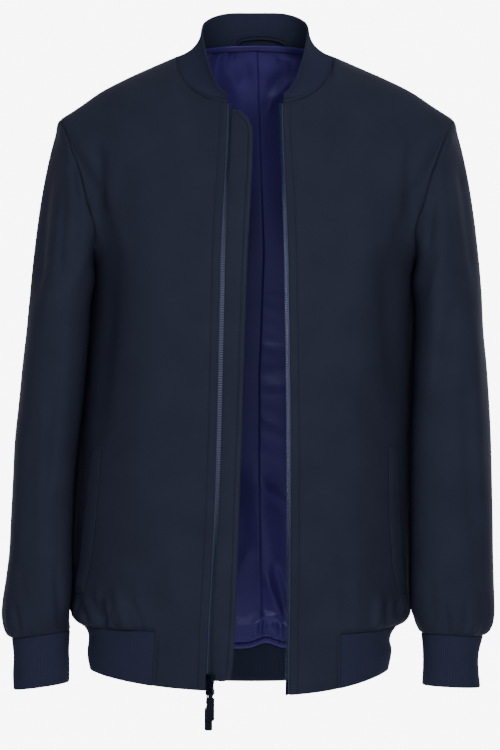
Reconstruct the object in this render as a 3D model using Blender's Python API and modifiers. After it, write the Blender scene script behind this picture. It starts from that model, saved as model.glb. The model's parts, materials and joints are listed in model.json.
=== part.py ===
"""Bomber jacket, open at the front, in the filled-out form in which it is worn.

The origin is the middle of the neck's base, level with the points where the
shoulder seams meet the collar. +X is the wearer's left, -Y the front, +Z up.
Each cut-and-sewn piece is one thin closed wall. Its outer face is a grid of
points worked out from the tables below, and its inner face is the same grid
moved in along the cloth's normals, so that neighbours meet cleanly at a seam.
"""

import math

import bmesh
import bpy
import numpy as np
from mathutils import Matrix, Vector
from mathutils.bvhtree import BVHTree

# --- Driving dimensions, in metres ---------------------------------------------

OUTER_CLOTH = 0.0015
RIB_KNIT = 0.0026
LINING = 0.0010
SEAM_GAP = 0.0003
LAID_GAP = 0.0006

RIGHT, LEFT = -1.0, 1.0  # the wearer's sides, as the sign of x

# Sections of the body, from the underarm down to the seam of the rib hem and on
# down the rib: height, half width on the wearer's right and left, depth of the
# front and of the back.
BODY_SECTIONS = np.array([
    # z,     right,  left,   front,  back
    (-0.275, 0.1940, 0.1910, 0.1230, 0.1180),
    (-0.300, 0.1945, 0.1900, 0.1245, 0.1190),
    (-0.350, 0.1990, 0.1880, 0.1260, 0.1190),
    (-0.400, 0.2030, 0.1865, 0.1260, 0.1185),
    (-0.450, 0.2085, 0.1845, 0.1260, 0.1190),
    (-0.500, 0.2125, 0.1845, 0.1260, 0.1205),
    (-0.550, 0.2155, 0.1845, 0.1255, 0.1230),
    (-0.600, 0.2180, 0.1845, 0.1245, 0.1260),
    (-0.625, 0.2190, 0.1842, 0.1235, 0.1275),
    (-0.645, 0.2193, 0.1840, 0.1225, 0.1280),
    (-0.662, 0.2193, 0.1832, 0.1218, 0.1268),
    (-0.672, 0.2170, 0.1818, 0.1208, 0.1245),
    (-0.678, 0.2117, 0.1765, 0.1200, 0.1215),
    (-0.684, 0.2045, 0.1690, 0.1195, 0.1195),
    (-0.691, 0.2004, 0.1645, 0.1190, 0.1185),
    (-0.700, 0.1995, 0.1620, 0.1185, 0.1180),
    (-0.722, 0.2010, 0.1640, 0.1175, 0.1185),
    (-0.742, 0.2000, 0.1620, 0.1165, 0.1180),
    (-0.752, 0.1980, 0.1600, 0.1160, 0.1170),
])
BODY_POWER = 0.84  # below 1 the sections are fuller than an ellipse
CHEST_LEVEL, RIB_SEAM_LEVEL, HEM_LEVEL = -0.275, -0.684, -0.752
SIDE_LIFT_SEAM, SIDE_LIFT_HEM = 0.001, 0.0185  # the hem rises towards the sides
BACK_DROP = 0.006  # and dips at the back

# The two front edges and the cuts where the plain fronts meet the rib hem:
# height, distance from the middle on the wearer's right and left.
FRONT_EDGES = np.array([
    (-0.275, 0.0415, 0.0400),
    (-0.350, 0.0432, 0.0412),
    (-0.530, 0.0480, 0.0425),
    (-0.684, 0.0560, 0.0415),
    (-0.752, 0.0586, 0.0407),
])
NOTCH_LINES = np.array([
    (-0.275, 0.086, 0.084),
    (-0.500, 0.104, 0.094),
    (-0.684, 0.118, 0.101),
    (-0.752, 0.122, 0.101),
])
LEFT_FRONT_DROP = 0.005  # the wearer's left front hangs a little lower

# The neck seam, half of it: from the middle of the back to the front end.
NECK_BACK = np.array([(0, 0.075, 0.016), (0.045, 0.068, 0.014), (0.080, 0.042, 0.008), (0.096, 0.005, 0)])
NECK_FRONT = np.array([
    (0.096, 0.005, 0), (0.090, -0.022, -0.0185), (0.077, -0.050, -0.037),
    (0.057, -0.076, -0.050), (0.034, -0.095, -0.057),
])
COLLAR_TOP_BACK = np.array([
    (0, 0.058, 0.0570), (0.032, 0.054, 0.0568), (0.052, 0.040, 0.0530),
    (0.0625, 0.018, 0.0450), (0.0650, -0.003, 0.0330),
])
COLLAR_TOP_FRONT = np.array([
    (0.0650, -0.003, 0.0330), (0.0605, -0.032, 0.0040), (0.0510, -0.062, -0.028),
    (0.0425, -0.080, -0.0440), (0.0345, -0.0910, -0.0515),
])
SHOULDER = np.array([
    (0.096, 0.005, 0), (0.125, 0.006, -0.0125), (0.155, 0.005, -0.0260),
    (0.186, 0.003, -0.0420), (0.212, 0.001, -0.0600), (0.2345, 0, -0.0745),
])
ARMHOLE_FRONT = np.array([
    (0.2345, 0, -0.0745), (0.2285, -0.024, -0.090), (0.2190, -0.044, -0.114), (0.2090, -0.056, -0.143),
    (0.1995, -0.061, -0.175), (0.1900, -0.055, -0.208), (0.1920, -0.034, -0.238), (0.1955, 0.003, -0.252),
])
ARMHOLE_BACK = np.array([
    (0.2345, 0, -0.0745), (0.2290, 0.025, -0.090), (0.2200, 0.045, -0.114), (0.2105, 0.057, -0.143),
    (0.2010, 0.062, -0.175), (0.1920, 0.056, -0.208), (0.1925, 0.035, -0.238), (0.1955, 0.003, -0.252),
])
SHOULDER_SHIFT = {RIGHT: -0.0015, LEFT: 0.0025}  # at the tip, the left one is a little wider

# Sleeve sections: height, middle and half width in x, middle and half depth in y.
SLEEVE_SECTIONS = {
    RIGHT: np.array([
        (-0.290, 0.2342, 0.0357, 0.004, 0.073), (-0.330, 0.2372, 0.0372, 0.003, 0.071),
        (-0.370, 0.2412, 0.0378, 0.002, 0.069), (-0.412, 0.2452, 0.0378, 0.000, 0.067),
        (-0.460, 0.2510, 0.0370, -0.002, 0.064), (-0.508, 0.2545, 0.0358, -0.003, 0.061),
        (-0.556, 0.2565, 0.0363, -0.004, 0.058), (-0.598, 0.2582, 0.0368, -0.005, 0.056),
        (-0.628, 0.2600, 0.0390, -0.006, 0.055), (-0.650, 0.2622, 0.0402, -0.006, 0.053),
        (-0.668, 0.2625, 0.0395, -0.006, 0.050), (-0.682, 0.2605, 0.0375, -0.006, 0.045),
        (-0.693, 0.2565, 0.0350, -0.006, 0.0355), (-0.715, 0.2560, 0.0333, -0.006, 0.0335),
        (-0.735, 0.2562, 0.0340, -0.006, 0.0340), (-0.753, 0.2560, 0.0335, -0.006, 0.0335),
    ]),
    LEFT: np.array([
        (-0.290, 0.2332, 0.0392, 0.004, 0.073), (-0.330, 0.2342, 0.0400, 0.003, 0.071),
        (-0.370, 0.2350, 0.0430, 0.002, 0.069), (-0.412, 0.2358, 0.0450, 0.000, 0.067),
        (-0.460, 0.2360, 0.0470, -0.002, 0.064), (-0.508, 0.2363, 0.0478, -0.003, 0.061),
        (-0.556, 0.2367, 0.0483, -0.004, 0.058), (-0.598, 0.2370, 0.0485, -0.005, 0.056),
        (-0.628, 0.2372, 0.0490, -0.006, 0.055), (-0.650, 0.2376, 0.0492, -0.006, 0.053),
        (-0.668, 0.2378, 0.0480, -0.006, 0.050), (-0.682, 0.2375, 0.0440, -0.006, 0.045),
        (-0.693, 0.2362, 0.0370, -0.006, 0.0355), (-0.715, 0.2345, 0.0335, -0.006, 0.0335),
        (-0.735, 0.2345, 0.0335, -0.006, 0.0340), (-0.753, 0.2350, 0.0350, -0.006, 0.0335),
    ]),
}
SLEEVE_POWER = 0.90
FLANK_SLANT = 0.20  # the flanks and the sleeves beside them stand wider at the back
BACK_FLANK_SLANT = np.array([  # the back's own slant, which closes the view between body and sleeve
    # z, slant
    (-0.275, 0.25), (-0.300, 0.37), (-0.350, 0.45), (-0.684, 0.45),
])
SLEEVE_TOP_LEVEL, CUFF_SEAM_LEVEL = -0.290, -0.693
CUFF_TILT = {RIGHT: 0.0045, LEFT: 0.0015}  # the cuff's inner side sits higher

# Soft folds of the outer cloth: where each starts and ends (x, z), which face it
# is on (-1 front, +1 back), its half width and how far it stands out or dips in.
FOLDS = np.array([
    # x0,    z0,     x1,     z1,     face,  width, height
    (-0.186, -0.105, -0.188, -0.200, -1.0, 0.010, -0.0045),
    (-0.168, -0.240, -0.192, -0.480, -1.0, 0.014, -0.0050),
    (-0.120, -0.100, -0.150, -0.330, -1.0, 0.026, 0.0040),
    (-0.236, -0.100, -0.258, -0.300, -1.0, 0.012, -0.0040),
    (-0.222, -0.290, -0.236, -0.520, -1.0, 0.013, 0.0045),
    (-0.262, -0.420, -0.272, -0.640, -1.0, 0.012, -0.0035),
    (-0.098, -0.560, -0.090, -0.680, -1.0, 0.016, 0.0030),
    (0.190, -0.100, 0.184, -0.200, -1.0, 0.010, -0.0045),
    (0.150, -0.230, 0.172, -0.430, -1.0, 0.014, -0.0050),
    (0.118, -0.110, 0.140, -0.320, -1.0, 0.026, 0.0040),
    (0.240, -0.110, 0.246, -0.280, -1.0, 0.012, -0.0040),
    (0.226, -0.180, 0.208, -0.400, -1.0, 0.013, 0.0045),
    (0.250, -0.380, 0.262, -0.620, -1.0, 0.012, -0.0035),
    (0.082, -0.550, 0.090, -0.680, -1.0, 0.016, 0.0030),
    (-0.150, -0.120, -0.135, -0.420, 1.0, 0.020, -0.0055),
    (0.150, -0.130, 0.128, -0.440, 1.0, 0.020, -0.0050),
    (-0.070, -0.300, -0.095, -0.620, 1.0, 0.024, 0.0045),
    (0.060, -0.360, 0.085, -0.640, 1.0, 0.024, 0.0040),
    (-0.005, -0.480, 0.012, -0.660, 1.0, 0.020, -0.0035),
    (-0.232, -0.110, -0.252, -0.340, 1.0, 0.014, -0.0045),
    (-0.246, -0.380, -0.262, -0.620, 1.0, 0.014, 0.0040),
    (0.236, -0.120, 0.238, -0.330, 1.0, 0.014, -0.0040),
    (0.222, -0.400, 0.246, -0.640, 1.0, 0.014, 0.0040),
])

# Gathers over the ribs: number of tucks in a full turn, their reach and height.
HEM_TUCKS, HEM_TUCK_REACH, HEM_TUCK_HEIGHT = 38, 0.050, 0.0020
CUFF_TUCKS, CUFF_TUCK_REACH, CUFF_TUCK_HEIGHT = 9, 0.045, 0.0024
BLOUSE_HEIGHT = 0.007  # how far the fronts bulge over the rib hem
TUCKS_FULL_AFTER = 0.14  # turn past the cut at which the tucks have their height

# Columns of the grids between the corners of each piece.
NECK_FRONT_COLUMNS, NECK_BACK_COLUMNS = 6, 5
SHOULDER_COLUMNS, ARMHOLE_COLUMNS = 4, 8
NOTCH_COLUMN = 5
YOKE_ROWS = 5
BODY_LEVELS = (-0.684, -0.675, -0.661, -0.642, -0.600, -0.555, -0.510, -0.465,
               -0.420, -0.375, -0.325, -0.275)
RIB_LEVELS = (-0.752, -0.730, -0.705, -0.684)
FINE_BODY_ROWS = 3  # rows over the rib hem that have twice the columns
SLEEVE_LEVELS = (-0.290, -0.340, -0.395, -0.450, -0.505, -0.555, -0.600,
                 -0.630, -0.650, -0.668, -0.682, -0.693)
FINE_SLEEVE_ROWS = 4
CAP_ROWS = 6
LINING_LEVELS = (-0.705, -0.684, -0.661, -0.642, -0.600, -0.510, -0.420, -0.325, -0.275)
CUFF_LEVELS = (-0.693, -0.715, -0.735, -0.753)

# The zip: the tape shows past the cloth's edge and carries the teeth on its edge.
TAPE_UNDER, TAPE_SHOWN, TAPE_THICK = 0.0070, 0.0022, 0.0008
TEETH_WIDTH, TEETH_THICK = 0.0026, 0.0024
ZIP_TOP_SHORT = 0.12  # share of the topmost row that the tape leaves free

# The underlap behind the zip of the wearer's right front: height, distance from the
# middle to its free edge.
UNDERLAP_EDGE = np.array([
    (-0.0690, 0.0150), (-0.0710, 0.0075), (-0.0770, 0.0030), (-0.0870, 0.0010), (-0.1240, 0.0040),
    (-0.1700, 0.0065), (-0.2360, 0.0100), (-0.3500, 0.0130), (-0.5280, 0.0190),
    (-0.6780, 0.0240), (-0.7300, 0.0300), (-0.7370, 0.0350), (-0.7390, 0.0420),
])
UNDERLAP_UNDER = 0.012
UNDERLAP_TOP_SHORT = 0.26  # share of the topmost row that it leaves free
UNDERLAP_CORNER = 0.70  # where one more row rounds its upper corner
UNDERLAP_THICK = 0.0022
UNDERLAP_CLEAR = 0.0022  # further back behind the sliders

# Welts of the slanted pockets: height, start and width along the panel, measured
# forward from the side seam.
WELT_LINES = np.array([(-0.470, 0.052, 0.016), (-0.500, 0.048, 0.021), (-0.560, 0.041, 0.025),
                       (-0.610, 0.034, 0.026), (-0.632, 0.031, 0.024)])
WELT_THICK = 0.0016

# How far the lining lies inside the outer face of the back: distance below the
# neck, depth. It hangs loose and clears the gathers at the hem.
LINING_DEPTHS = ((0.10, 0.0024), (0.30, 0.0034), (0.36, 0.0044), (0.60, 0.0046), (0.65, 0.0072))
LINING_SHORT, LINING_SHORT_AT_NECK = 0.12, 0.07  # share of its topmost row left free
# The gathered roll along the lining's foot: share of the way down to the rib's next
# row, and how far its two faces lie inside the outer face of the back.
PIPING_PROFILE = ((0.29, 0.0070, 0.0082), (0.15, 0.0063, 0.0088), (0.01, 0.0068, 0.0084))
# The satin band inside the neck seam: from this far below the seam, over the lining,
# to this share of the collar's lowest row.
NECK_BAND_BELOW, NECK_BAND_SHARE, NECK_BAND_THICK = 0.0022, 0.80, 0.0008

# The hanger loop at the back neck, from its right end to its left.
HANGER_LINE = [(-0.0200, 0.0222), (-0.0150, 0.0270), (-0.004, 0.0290), (0.010, 0.0292),
               (0.024, 0.0277), (0.032, 0.0243), (0.0355, 0.0222)]
HANGER_WIDTH, HANGER_THICK, HANGER_CLEAR = 0.0042, 0.0012, 0.0009

# The two sliders at the foot of the right front, and their pulls.
SLIDER_WIDTH, SLIDER_HEIGHT, SLIDER_PLATE = 0.0106, 0.0090, 0.0010
SLIDER_WALL = 0.0008  # between its two channels
UPPER_SLIDER_Z, LOWER_SLIDER_Z = -0.7380, -0.7503
BAIL_WIRE, BAIL_REACH, BAIL_HOLE = 0.0006, 0.0032, 0.0013
LINK_WIRE = 0.0006
LINK_OUTLINE = [  # half of the cast link, from the bail down to the tab's bar: across, down
    (0.0008, 0.0001), (0.0023, 0.0010), (0.0033, 0.0027), (0.0036, 0.0048), (0.0033, 0.0072),
    (0.0027, 0.0094), (0.0026, 0.0150), (0.0025, 0.0164), (0.0020, 0.0170), (0.0013, 0.0171),
]
LINK_LEAN = {"upper": -0.035, "lower": 0.140}  # how far each hangs aslant, in radians
TAB_WIDTH, TAB_HEIGHT, TAB_THICK = 0.0092, 0.0275, 0.0022
TAB_NECK_WIDTH, TAB_NECK_RADIUS, TAB_NECK_BELOW, TAB_EYE = 0.0030, 0.0016, 0.0048, 0.00092
TAB_DROP = 0.0040  # from the eye down to the tab's top

COLOURS = {
    "twill": (0.0165, 0.0215, 0.0350),
    "rib": (0.0125, 0.0185, 0.0340),
    "satin": (0.0150, 0.0155, 0.0620),
    "zip": (0.0400, 0.0520, 0.0900),
    "metal": (0.4000, 0.4100, 0.4300),
    "moulding": (0.0200, 0.0250, 0.0350),
}

rng = np.random.default_rng(7)
HEM_TUCK_SHIFT = rng.uniform(-0.45, 0.45, 16)
CUFF_TUCK_SHIFT = rng.uniform(-0.45, 0.45, 16)


# --- Curves and sections ---------------------------------------------------------


def spline(points, amounts):
    """Points of a smooth curve through the given ones, at shares of its length."""
    points = np.asarray(points, float)
    before = 2 * points[0] - points[1]
    after = 2 * points[-1] - points[-2]
    p = np.vstack([before, points, after])
    t = np.linspace(0, 1, 24, endpoint=False)[:, None]
    runs = []
    for a, b, c, d in zip(p, p[1:], p[2:], p[3:]):
        square, cube = 2 * a - 5 * b + 4 * c - d, 3 * b - a - 3 * c + d
        runs.append(0.5 * (2 * b + (c - a) * t + square * t**2 + cube * t**3))
    fine = np.vstack(runs + [points[-1:]])
    length = np.concatenate([[0], np.cumsum(np.linalg.norm(np.diff(fine, axis=0), axis=1))])
    return np.stack([np.interp(np.asarray(amounts) * length[-1], length, fine[:, k]) for k in range(3)], 1)


def smooth_step(low, high, value):
    t = np.clip((np.asarray(value, float) - low) / (high - low), 0, 1)
    return t * t * (3 - 2 * t)


def column_of(table, level, column):
    """A table's value at a height; the tables run downwards."""
    return np.interp(-np.asarray(level), -table[:, 0], table[:, column])


def hermite(start, start_slope, end, end_slope, amounts):
    """Curves from start to end, one a row of the inputs, at the given shares."""
    t = np.asarray(amounts, float)[:, None, None]
    return ((2 * t**3 - 3 * t**2 + 1) * start + (t**3 - 2 * t**2 + t) * start_slope
            + (3 * t**2 - 2 * t**3) * end + (t**3 - t**2) * end_slope)


def turn_at(level, side, distance):
    """The turn of the section at which the cloth is this far from the middle."""
    width = column_of(BODY_SECTIONS, level, 1 if side == RIGHT else 2)
    return np.arcsin(np.clip(distance / width, 0, 1) ** (1 / BODY_POWER))


def body_point(level, side, turn, face):
    """A point of the body: turn 0 is the middle of a face, half pi the side seam."""
    width = column_of(BODY_SECTIONS, level, 1 if side == RIGHT else 2)
    depth = column_of(BODY_SECTIONS, level, 3 if face < 0 else 4)
    y = face * depth * np.cos(np.clip(turn, 0, math.pi / 2)) ** BODY_POWER
    lean = FLANK_SLANT if face < 0 else column_of(BACK_FLANK_SLANT, level, 1)
    slant = lean * y * smooth_step(0.5, 1.0, np.sin(turn)) * smooth_step(RIB_SEAM_LEVEL, -0.64, level)
    x = side * (width * np.sin(turn) ** BODY_POWER + slant)
    side_share = np.sin(turn) ** 2
    near_hem = smooth_step(-0.56, RIB_SEAM_LEVEL, level)
    lift = SIDE_LIFT_SEAM + (SIDE_LIFT_HEM - SIDE_LIFT_SEAM) * smooth_step(RIB_SEAM_LEVEL, HEM_LEVEL, level)
    drop = BACK_DROP if face > 0 else LEFT_FRONT_DROP * (side == LEFT)
    z = level + near_hem * (side_share * lift - (1 - side_share) * drop)
    return np.stack(np.broadcast_arrays(x, y, z), -1)


def fold_height(points):
    """How far the folds move each point along its normal."""
    x, y, z = points[..., 0], points[..., 1], points[..., 2]
    total = np.zeros(x.shape)
    for x0, z0, x1, z1, face, width, height in FOLDS:
        along = np.array([x1 - x0, z1 - z0])
        share = ((x - x0) * along[0] + (z - z0) * along[1]) / (along @ along)
        inside = np.clip(share, 0, 1)
        away = np.hypot(x - x0 - inside * along[0], z - z0 - inside * along[1])
        ends = smooth_step(-0.05, 0.25, share) * smooth_step(1.05, 0.75, share)
        on_face = smooth_step(0.0, 0.030, face * y)
        total += height * np.exp(-(away / width) ** 2) * ends * on_face
    return total


def tucks(turn, count, shifts):
    """An uneven wave round a gathered edge, from 0 to about 1."""
    place = turn / (2 * math.pi)
    shift = np.interp(place % 1, np.linspace(0, 1, len(shifts) + 1), np.append(shifts, shifts[0]))
    return 0.5 - 0.5 * np.cos(2 * math.pi * (count * place + shift))


# --- Grids of the pieces ---------------------------------------------------------


def half_boundary(neck, neck_columns, armhole, side):
    """The upper edge of one half: along the neck, the shoulder and down the armhole."""
    runs = [spline(neck, np.linspace(0, 1, neck_columns + 1))]
    runs.append(spline(SHOULDER, np.linspace(0, 1, SHOULDER_COLUMNS + 1))[1:])
    runs.append(spline(armhole, np.linspace(0, 1, ARMHOLE_COLUMNS + 1))[1:])
    edge = np.vstack(runs)
    near_tip = smooth_step(0.12, 0.23, edge[:, 0]) * smooth_step(-0.24, -0.10, edge[:, 2])
    edge[:, 0] += SHOULDER_SHIFT[side] * near_tip
    return edge * (side, 1, 1)


def end_slopes(edge, neck_columns, face, side, neck_slopes):
    """The direction in which the columns arrive at the upper edge."""
    count = len(edge)
    tip = neck_columns + SHOULDER_COLUMNS
    stations = [0, neck_columns, tip, tip + 0.25 * ARMHOLE_COLUMNS, tip + 0.5 * ARMHOLE_COLUMNS,
                tip + 0.8 * ARMHOLE_COLUMNS, count - 1]
    slopes = np.array([
        neck_slopes, (0.0, 1.0, 0.10), (0.15, 1.0, 0.05), (0.50, 0.45, 0.72), (0.55, 0.15, 0.82),
        (0.40, 0.04, 0.92), (0.90, 0.0, 0.45),
    ])
    picked = np.stack([np.interp(np.arange(count), stations, slopes[:, k]) for k in range(3)], 1)
    picked *= (side, -face, 1)
    return picked / np.linalg.norm(picked, axis=1, keepdims=True)


def doubled(edge):
    """The columns with one more halfway between each two."""
    fine = np.repeat(edge, 2, axis=0)[:-1]
    fine[1::2] = (edge[1:] + edge[:-1]) / 2
    return fine


def lower_turns(level, side, neck_columns, face):
    """The turn of each fine column of a half at one height."""
    columns = neck_columns + SHOULDER_COLUMNS + ARMHOLE_COLUMNS
    if face < 0:
        which = 1 if side == RIGHT else 2
        edge = column_of(FRONT_EDGES, level, which)
        notch = column_of(NOTCH_LINES, level, which)
        plain = turn_at(level, side, np.linspace(edge, notch, 2 * NOTCH_COLUMN + 1))
        rest = plain[-1] + (math.pi / 2 - plain[-1]) * np.linspace(0, 1, 2 * (columns - NOTCH_COLUMN) + 1)
        return np.concatenate([plain, rest[1:]])
    return math.pi / 2 * np.linspace(0, 1, 2 * columns + 1) ** 1.04


def half_grid(side, face, levels):
    """Outer points of half a face: rows from the lowest level up to the upper edge."""
    neck_columns = NECK_FRONT_COLUMNS if face < 0 else NECK_BACK_COLUMNS
    rows = []
    for level in levels:
        turns = lower_turns(level, side, neck_columns, face)
        row = body_point(level, side, turns, face)
        if level > RIB_SEAM_LEVEL:
            row = row + gathered(level, side, turns, face)
        rows.append(row)
    rows = np.array(rows)
    if levels[-1] < CHEST_LEVEL:
        return rows
    neck = NECK_FRONT[::-1] if face < 0 else NECK_BACK
    slopes = (0.0, 0.32, 0.94) if face < 0 else (0.0, 0.45, 0.90)
    edge = half_boundary(neck, neck_columns, ARMHOLE_FRONT if face < 0 else ARMHOLE_BACK, side)
    arrive = doubled(end_slopes(edge, neck_columns, face, side, slopes))
    edge = doubled(edge)
    start = rows[-1]
    length = np.linalg.norm(edge - start, axis=1, keepdims=True)
    rise = np.array([0, 0, 1.0]) * length
    amounts = np.linspace(0, 1, YOKE_ROWS + 1)[1:]
    upper = hermite(start, rise, edge, arrive * length, amounts)
    return np.concatenate([rows, upper])


def gathered(level, side, turns, face):
    """How the cloth above the rib hem bulges and tucks, as a move outwards."""
    above = level - RIB_SEAM_LEVEL
    start = 0.0
    if face < 0:
        notch = column_of(NOTCH_LINES, level, 1 if side == RIGHT else 2)
        start = turn_at(level, side, notch)
    full = smooth_step(start, start + TUCKS_FULL_AFTER, turns) if face < 0 else 1.0
    bulge = BLOUSE_HEIGHT * math.sin(math.pi * min(above / 0.075, 1)) if face < 0 else 0.0
    middle_share = np.cos(turns) ** 0.5
    round_turn = turns if face < 0 else math.pi - turns
    wave = tucks(round_turn * side, HEM_TUCKS, HEM_TUCK_SHIFT)
    reach = min(above / 0.010, 1) * max(0.0, 1 - above / HEM_TUCK_REACH)
    move = full * (bulge * middle_share + HEM_TUCK_HEIGHT * wave * reach)
    outward = np.stack([side * np.sin(turns), face * np.cos(turns), 0 * turns], 1)
    return outward * move[:, None]


def sleeve_ring(level, side, turn):
    """A point of the sleeve: turn 0 faces the body, a quarter turn the front."""
    table = SLEEVE_SECTIONS[side]
    middle, half, middle_y, half_y = (column_of(table, level, k) for k in (1, 2, 3, 4))
    c, s = np.cos(turn), np.sin(turn)
    inward = np.sign(c) * np.abs(c) ** SLEEVE_POWER
    forward = np.sign(s) * np.abs(s) ** SLEEVE_POWER
    y = middle_y - half_y * forward
    slant = FLANK_SLANT * y * (0.5 + 0.5 * c) * smooth_step(CUFF_SEAM_LEVEL, -0.65, level)
    x = side * (middle - half * inward + slant)
    z = level + CUFF_TILT[side] * inward * smooth_step(-0.60, CUFF_SEAM_LEVEL, level)
    return np.stack(np.broadcast_arrays(x, y, z), -1)


def sleeve_grid(side):
    """Outer points of a sleeve: rows from the armhole down to the cuff's seam."""
    front = half_boundary(NECK_FRONT, 1, ARMHOLE_FRONT, side)[-ARMHOLE_COLUMNS - 1:]
    back = half_boundary(NECK_FRONT, 1, ARMHOLE_BACK, side)[-ARMHOLE_COLUMNS - 1:]
    loop = doubled(np.vstack([front[::-1], back[1:]]))
    turns = np.linspace(0, 2 * math.pi, len(loop))
    out = 0.5 - 0.5 * np.cos(turns)
    near = 1 - smooth_step(0, 0.06, out)
    sideways, down = 0.42 - 0.08 * out + 0.5 * near, -0.92 + 0.4 * near
    leave = np.stack([side * sideways, -0.16 * np.sin(turns), down], 1)
    leave /= np.linalg.norm(leave, axis=1, keepdims=True)
    ring = sleeve_ring(SLEEVE_TOP_LEVEL, side, turns)
    length = np.linalg.norm(ring - loop, axis=1, keepdims=True)
    fall = np.array([side * 0.06, 0, -1.0]) * length
    leave = leave * length * (0.55 + 0.25 * out[:, None])
    cap = hermite(loop, leave, ring, fall, np.linspace(0, 1, CAP_ROWS + 1)[:-1])
    rows = []
    for level in SLEEVE_LEVELS:
        row = sleeve_ring(level, side, turns)
        above = level - CUFF_SEAM_LEVEL
        reach = min(above / 0.010, 1) * max(0.0, 1 - above / CUFF_TUCK_REACH)
        wave = tucks(turns, CUFF_TUCKS, CUFF_TUCK_SHIFT * side)
        away_from_body = 0.25 + 0.75 * out
        move = CUFF_TUCK_HEIGHT * wave * reach * away_from_body
        row = row + np.stack([-side * np.cos(turns), -np.sin(turns), 0 * turns], 1) * move[:, None]
        rows.append(row)
    return np.concatenate([cap, np.array(rows)])


def cuff_grid(side):
    turns = np.linspace(0, 2 * math.pi, 4 * ARMHOLE_COLUMNS + 1)
    return np.array([sleeve_ring(level, side, turns) for level in CUFF_LEVELS])


def collar_grid():
    """Outer points of the collar, from its seam up, one end to the other."""
    low, high = [], []
    for side in (RIGHT, LEFT):
        front = spline(NECK_FRONT, np.linspace(0, 1, NECK_FRONT_COLUMNS + 1))[1:]
        back = spline(NECK_BACK, np.linspace(0, 1, NECK_BACK_COLUMNS + 1))
        top_front = spline(COLLAR_TOP_FRONT, np.linspace(0, 1, NECK_FRONT_COLUMNS + 1))[1:]
        top_back = spline(COLLAR_TOP_BACK, np.linspace(0, 1, NECK_BACK_COLUMNS + 1))
        low.append(np.vstack([back, front]) * (side, 1, 1))
        high.append(np.vstack([top_back, top_front]) * (side, 1, 1))
    low = np.vstack([low[0][::-1], low[1][1:]])
    high = np.vstack([high[0][::-1], high[1][1:]])
    height = np.linalg.norm(high - low, axis=1, keepdims=True)
    inward = (high - low) * (1, 1, 0)
    leave = inward * 1.9 + np.array([0, 0, 0.35]) * height
    arrive = inward * 0.1 + np.array([0, 0, 1.15]) * height
    return hermite(low, leave, high, arrive, (0, 0.25, 0.5, 0.75, 1))


# --- Closed walls from grids -----------------------------------------------------


def grid_normals(points, outward):
    """Normals of a grid, turned so that they agree with the outward sign."""
    down = np.gradient(points, axis=0)
    across = np.gradient(points, axis=1)
    normal = np.cross(down, across) * outward
    return normal / np.maximum(np.linalg.norm(normal, axis=-1, keepdims=True), 1e-12)


def with_normals(grids):
    """Grids with their normals; points that several pieces share get one normal, so
    that seams line up."""
    pieces = {name: (points, grid_normals(points, sign)) for name, (points, sign) in grids.items()}
    sums = {}
    for points, normals in pieces.values():
        for p, n in zip(points.reshape(-1, 3), normals.reshape(-1, 3)):
            key = tuple(np.round(p, 5))
            sums[key] = sums.get(key, 0) + n
    for points, normals in pieces.values():
        flat = normals.reshape(-1, 3)
        for k, p in enumerate(points.reshape(-1, 3)):
            total = sums[tuple(np.round(p, 5))]
            flat[k] = total / max(np.linalg.norm(total), 1e-9)
    return pieces


def closed_round(points):
    return np.allclose(points[:, 0], points[:, -1], atol=1e-7)


def drawn_in(edge, inner, facing, distance):
    """Moves an edge square to itself, along the cloth and towards the next row."""
    along = np.gradient(edge, axis=0)
    if np.allclose(edge[0], edge[-1], atol=1e-7):
        along[0] = along[-1] = edge[1] - edge[-2]
    across = np.cross(facing, along)
    across /= np.maximum(np.linalg.norm(across, axis=-1, keepdims=True), 1e-9)
    if (across * (inner - edge)).sum() < 0:
        across = -across
    return edge + across * distance


def inset(points, normals, distance, top=True, bottom=True, start=True, end=True):
    """Draws the edges of a grid in along the cloth, to leave the gap of a seam."""
    p = points.copy()
    if bottom:
        p[0] = drawn_in(points[0], points[1], normals[0], distance)
    if top:
        p[-1] = drawn_in(points[-1], points[-2], normals[-1], distance)
    if closed_round(points):
        return p
    if start:
        p[:, 0] = drawn_in(p[:, 0], p[:, 1], normals[:, 0], distance)
    if end:
        p[:, -1] = drawn_in(p[:, -1], p[:, -2], normals[:, -1], distance)
    return p


def coarse_cells(rows, columns, fine_from=None, fine_to=None, skip=None):
    """Faces of a grid as tuples of (row, column); outside the fine rows they are two
    columns wide, and the row next to the fine ones takes the extra points on."""
    cells = []
    for r in range(rows - 1):
        fine = fine_from is not None and fine_from <= r < fine_to
        step = 1 if fine else 2
        below_fine = fine_from is not None and not fine and r == fine_to
        above_fine = fine_from is not None and not fine and r + 1 == fine_from
        for c in range(0, columns - 1, step):
            if skip and skip(r, c):
                continue
            if fine:
                cells.append(((r, c), (r, c + 1), (r + 1, c + 1), (r + 1, c)))
            elif below_fine:
                cells.append(((r, c), (r, c + 1), (r, c + 2), (r + 1, c + 2), (r + 1, c)))
            elif above_fine:
                cells.append(((r, c), (r, c + 2), (r + 1, c + 2), (r + 1, c + 1), (r + 1, c)))
            else:
                cells.append(((r, c), (r, c + 2), (r + 1, c + 2), (r + 1, c)))
    return cells


def plain_cells(grid):
    """Every face of a grid, one column wide."""
    return [((r, c), (r, c + 1), (r + 1, c + 1), (r + 1, c))
            for r in range(grid.shape[0] - 1) for c in range(grid.shape[1] - 1)]


def face_outwards(model):
    bmesh.ops.recalc_face_normals(model, faces=model.faces)
    if model.calc_volume(signed=True) < 0:
        bmesh.ops.reverse_faces(model, faces=model.faces)


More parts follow.
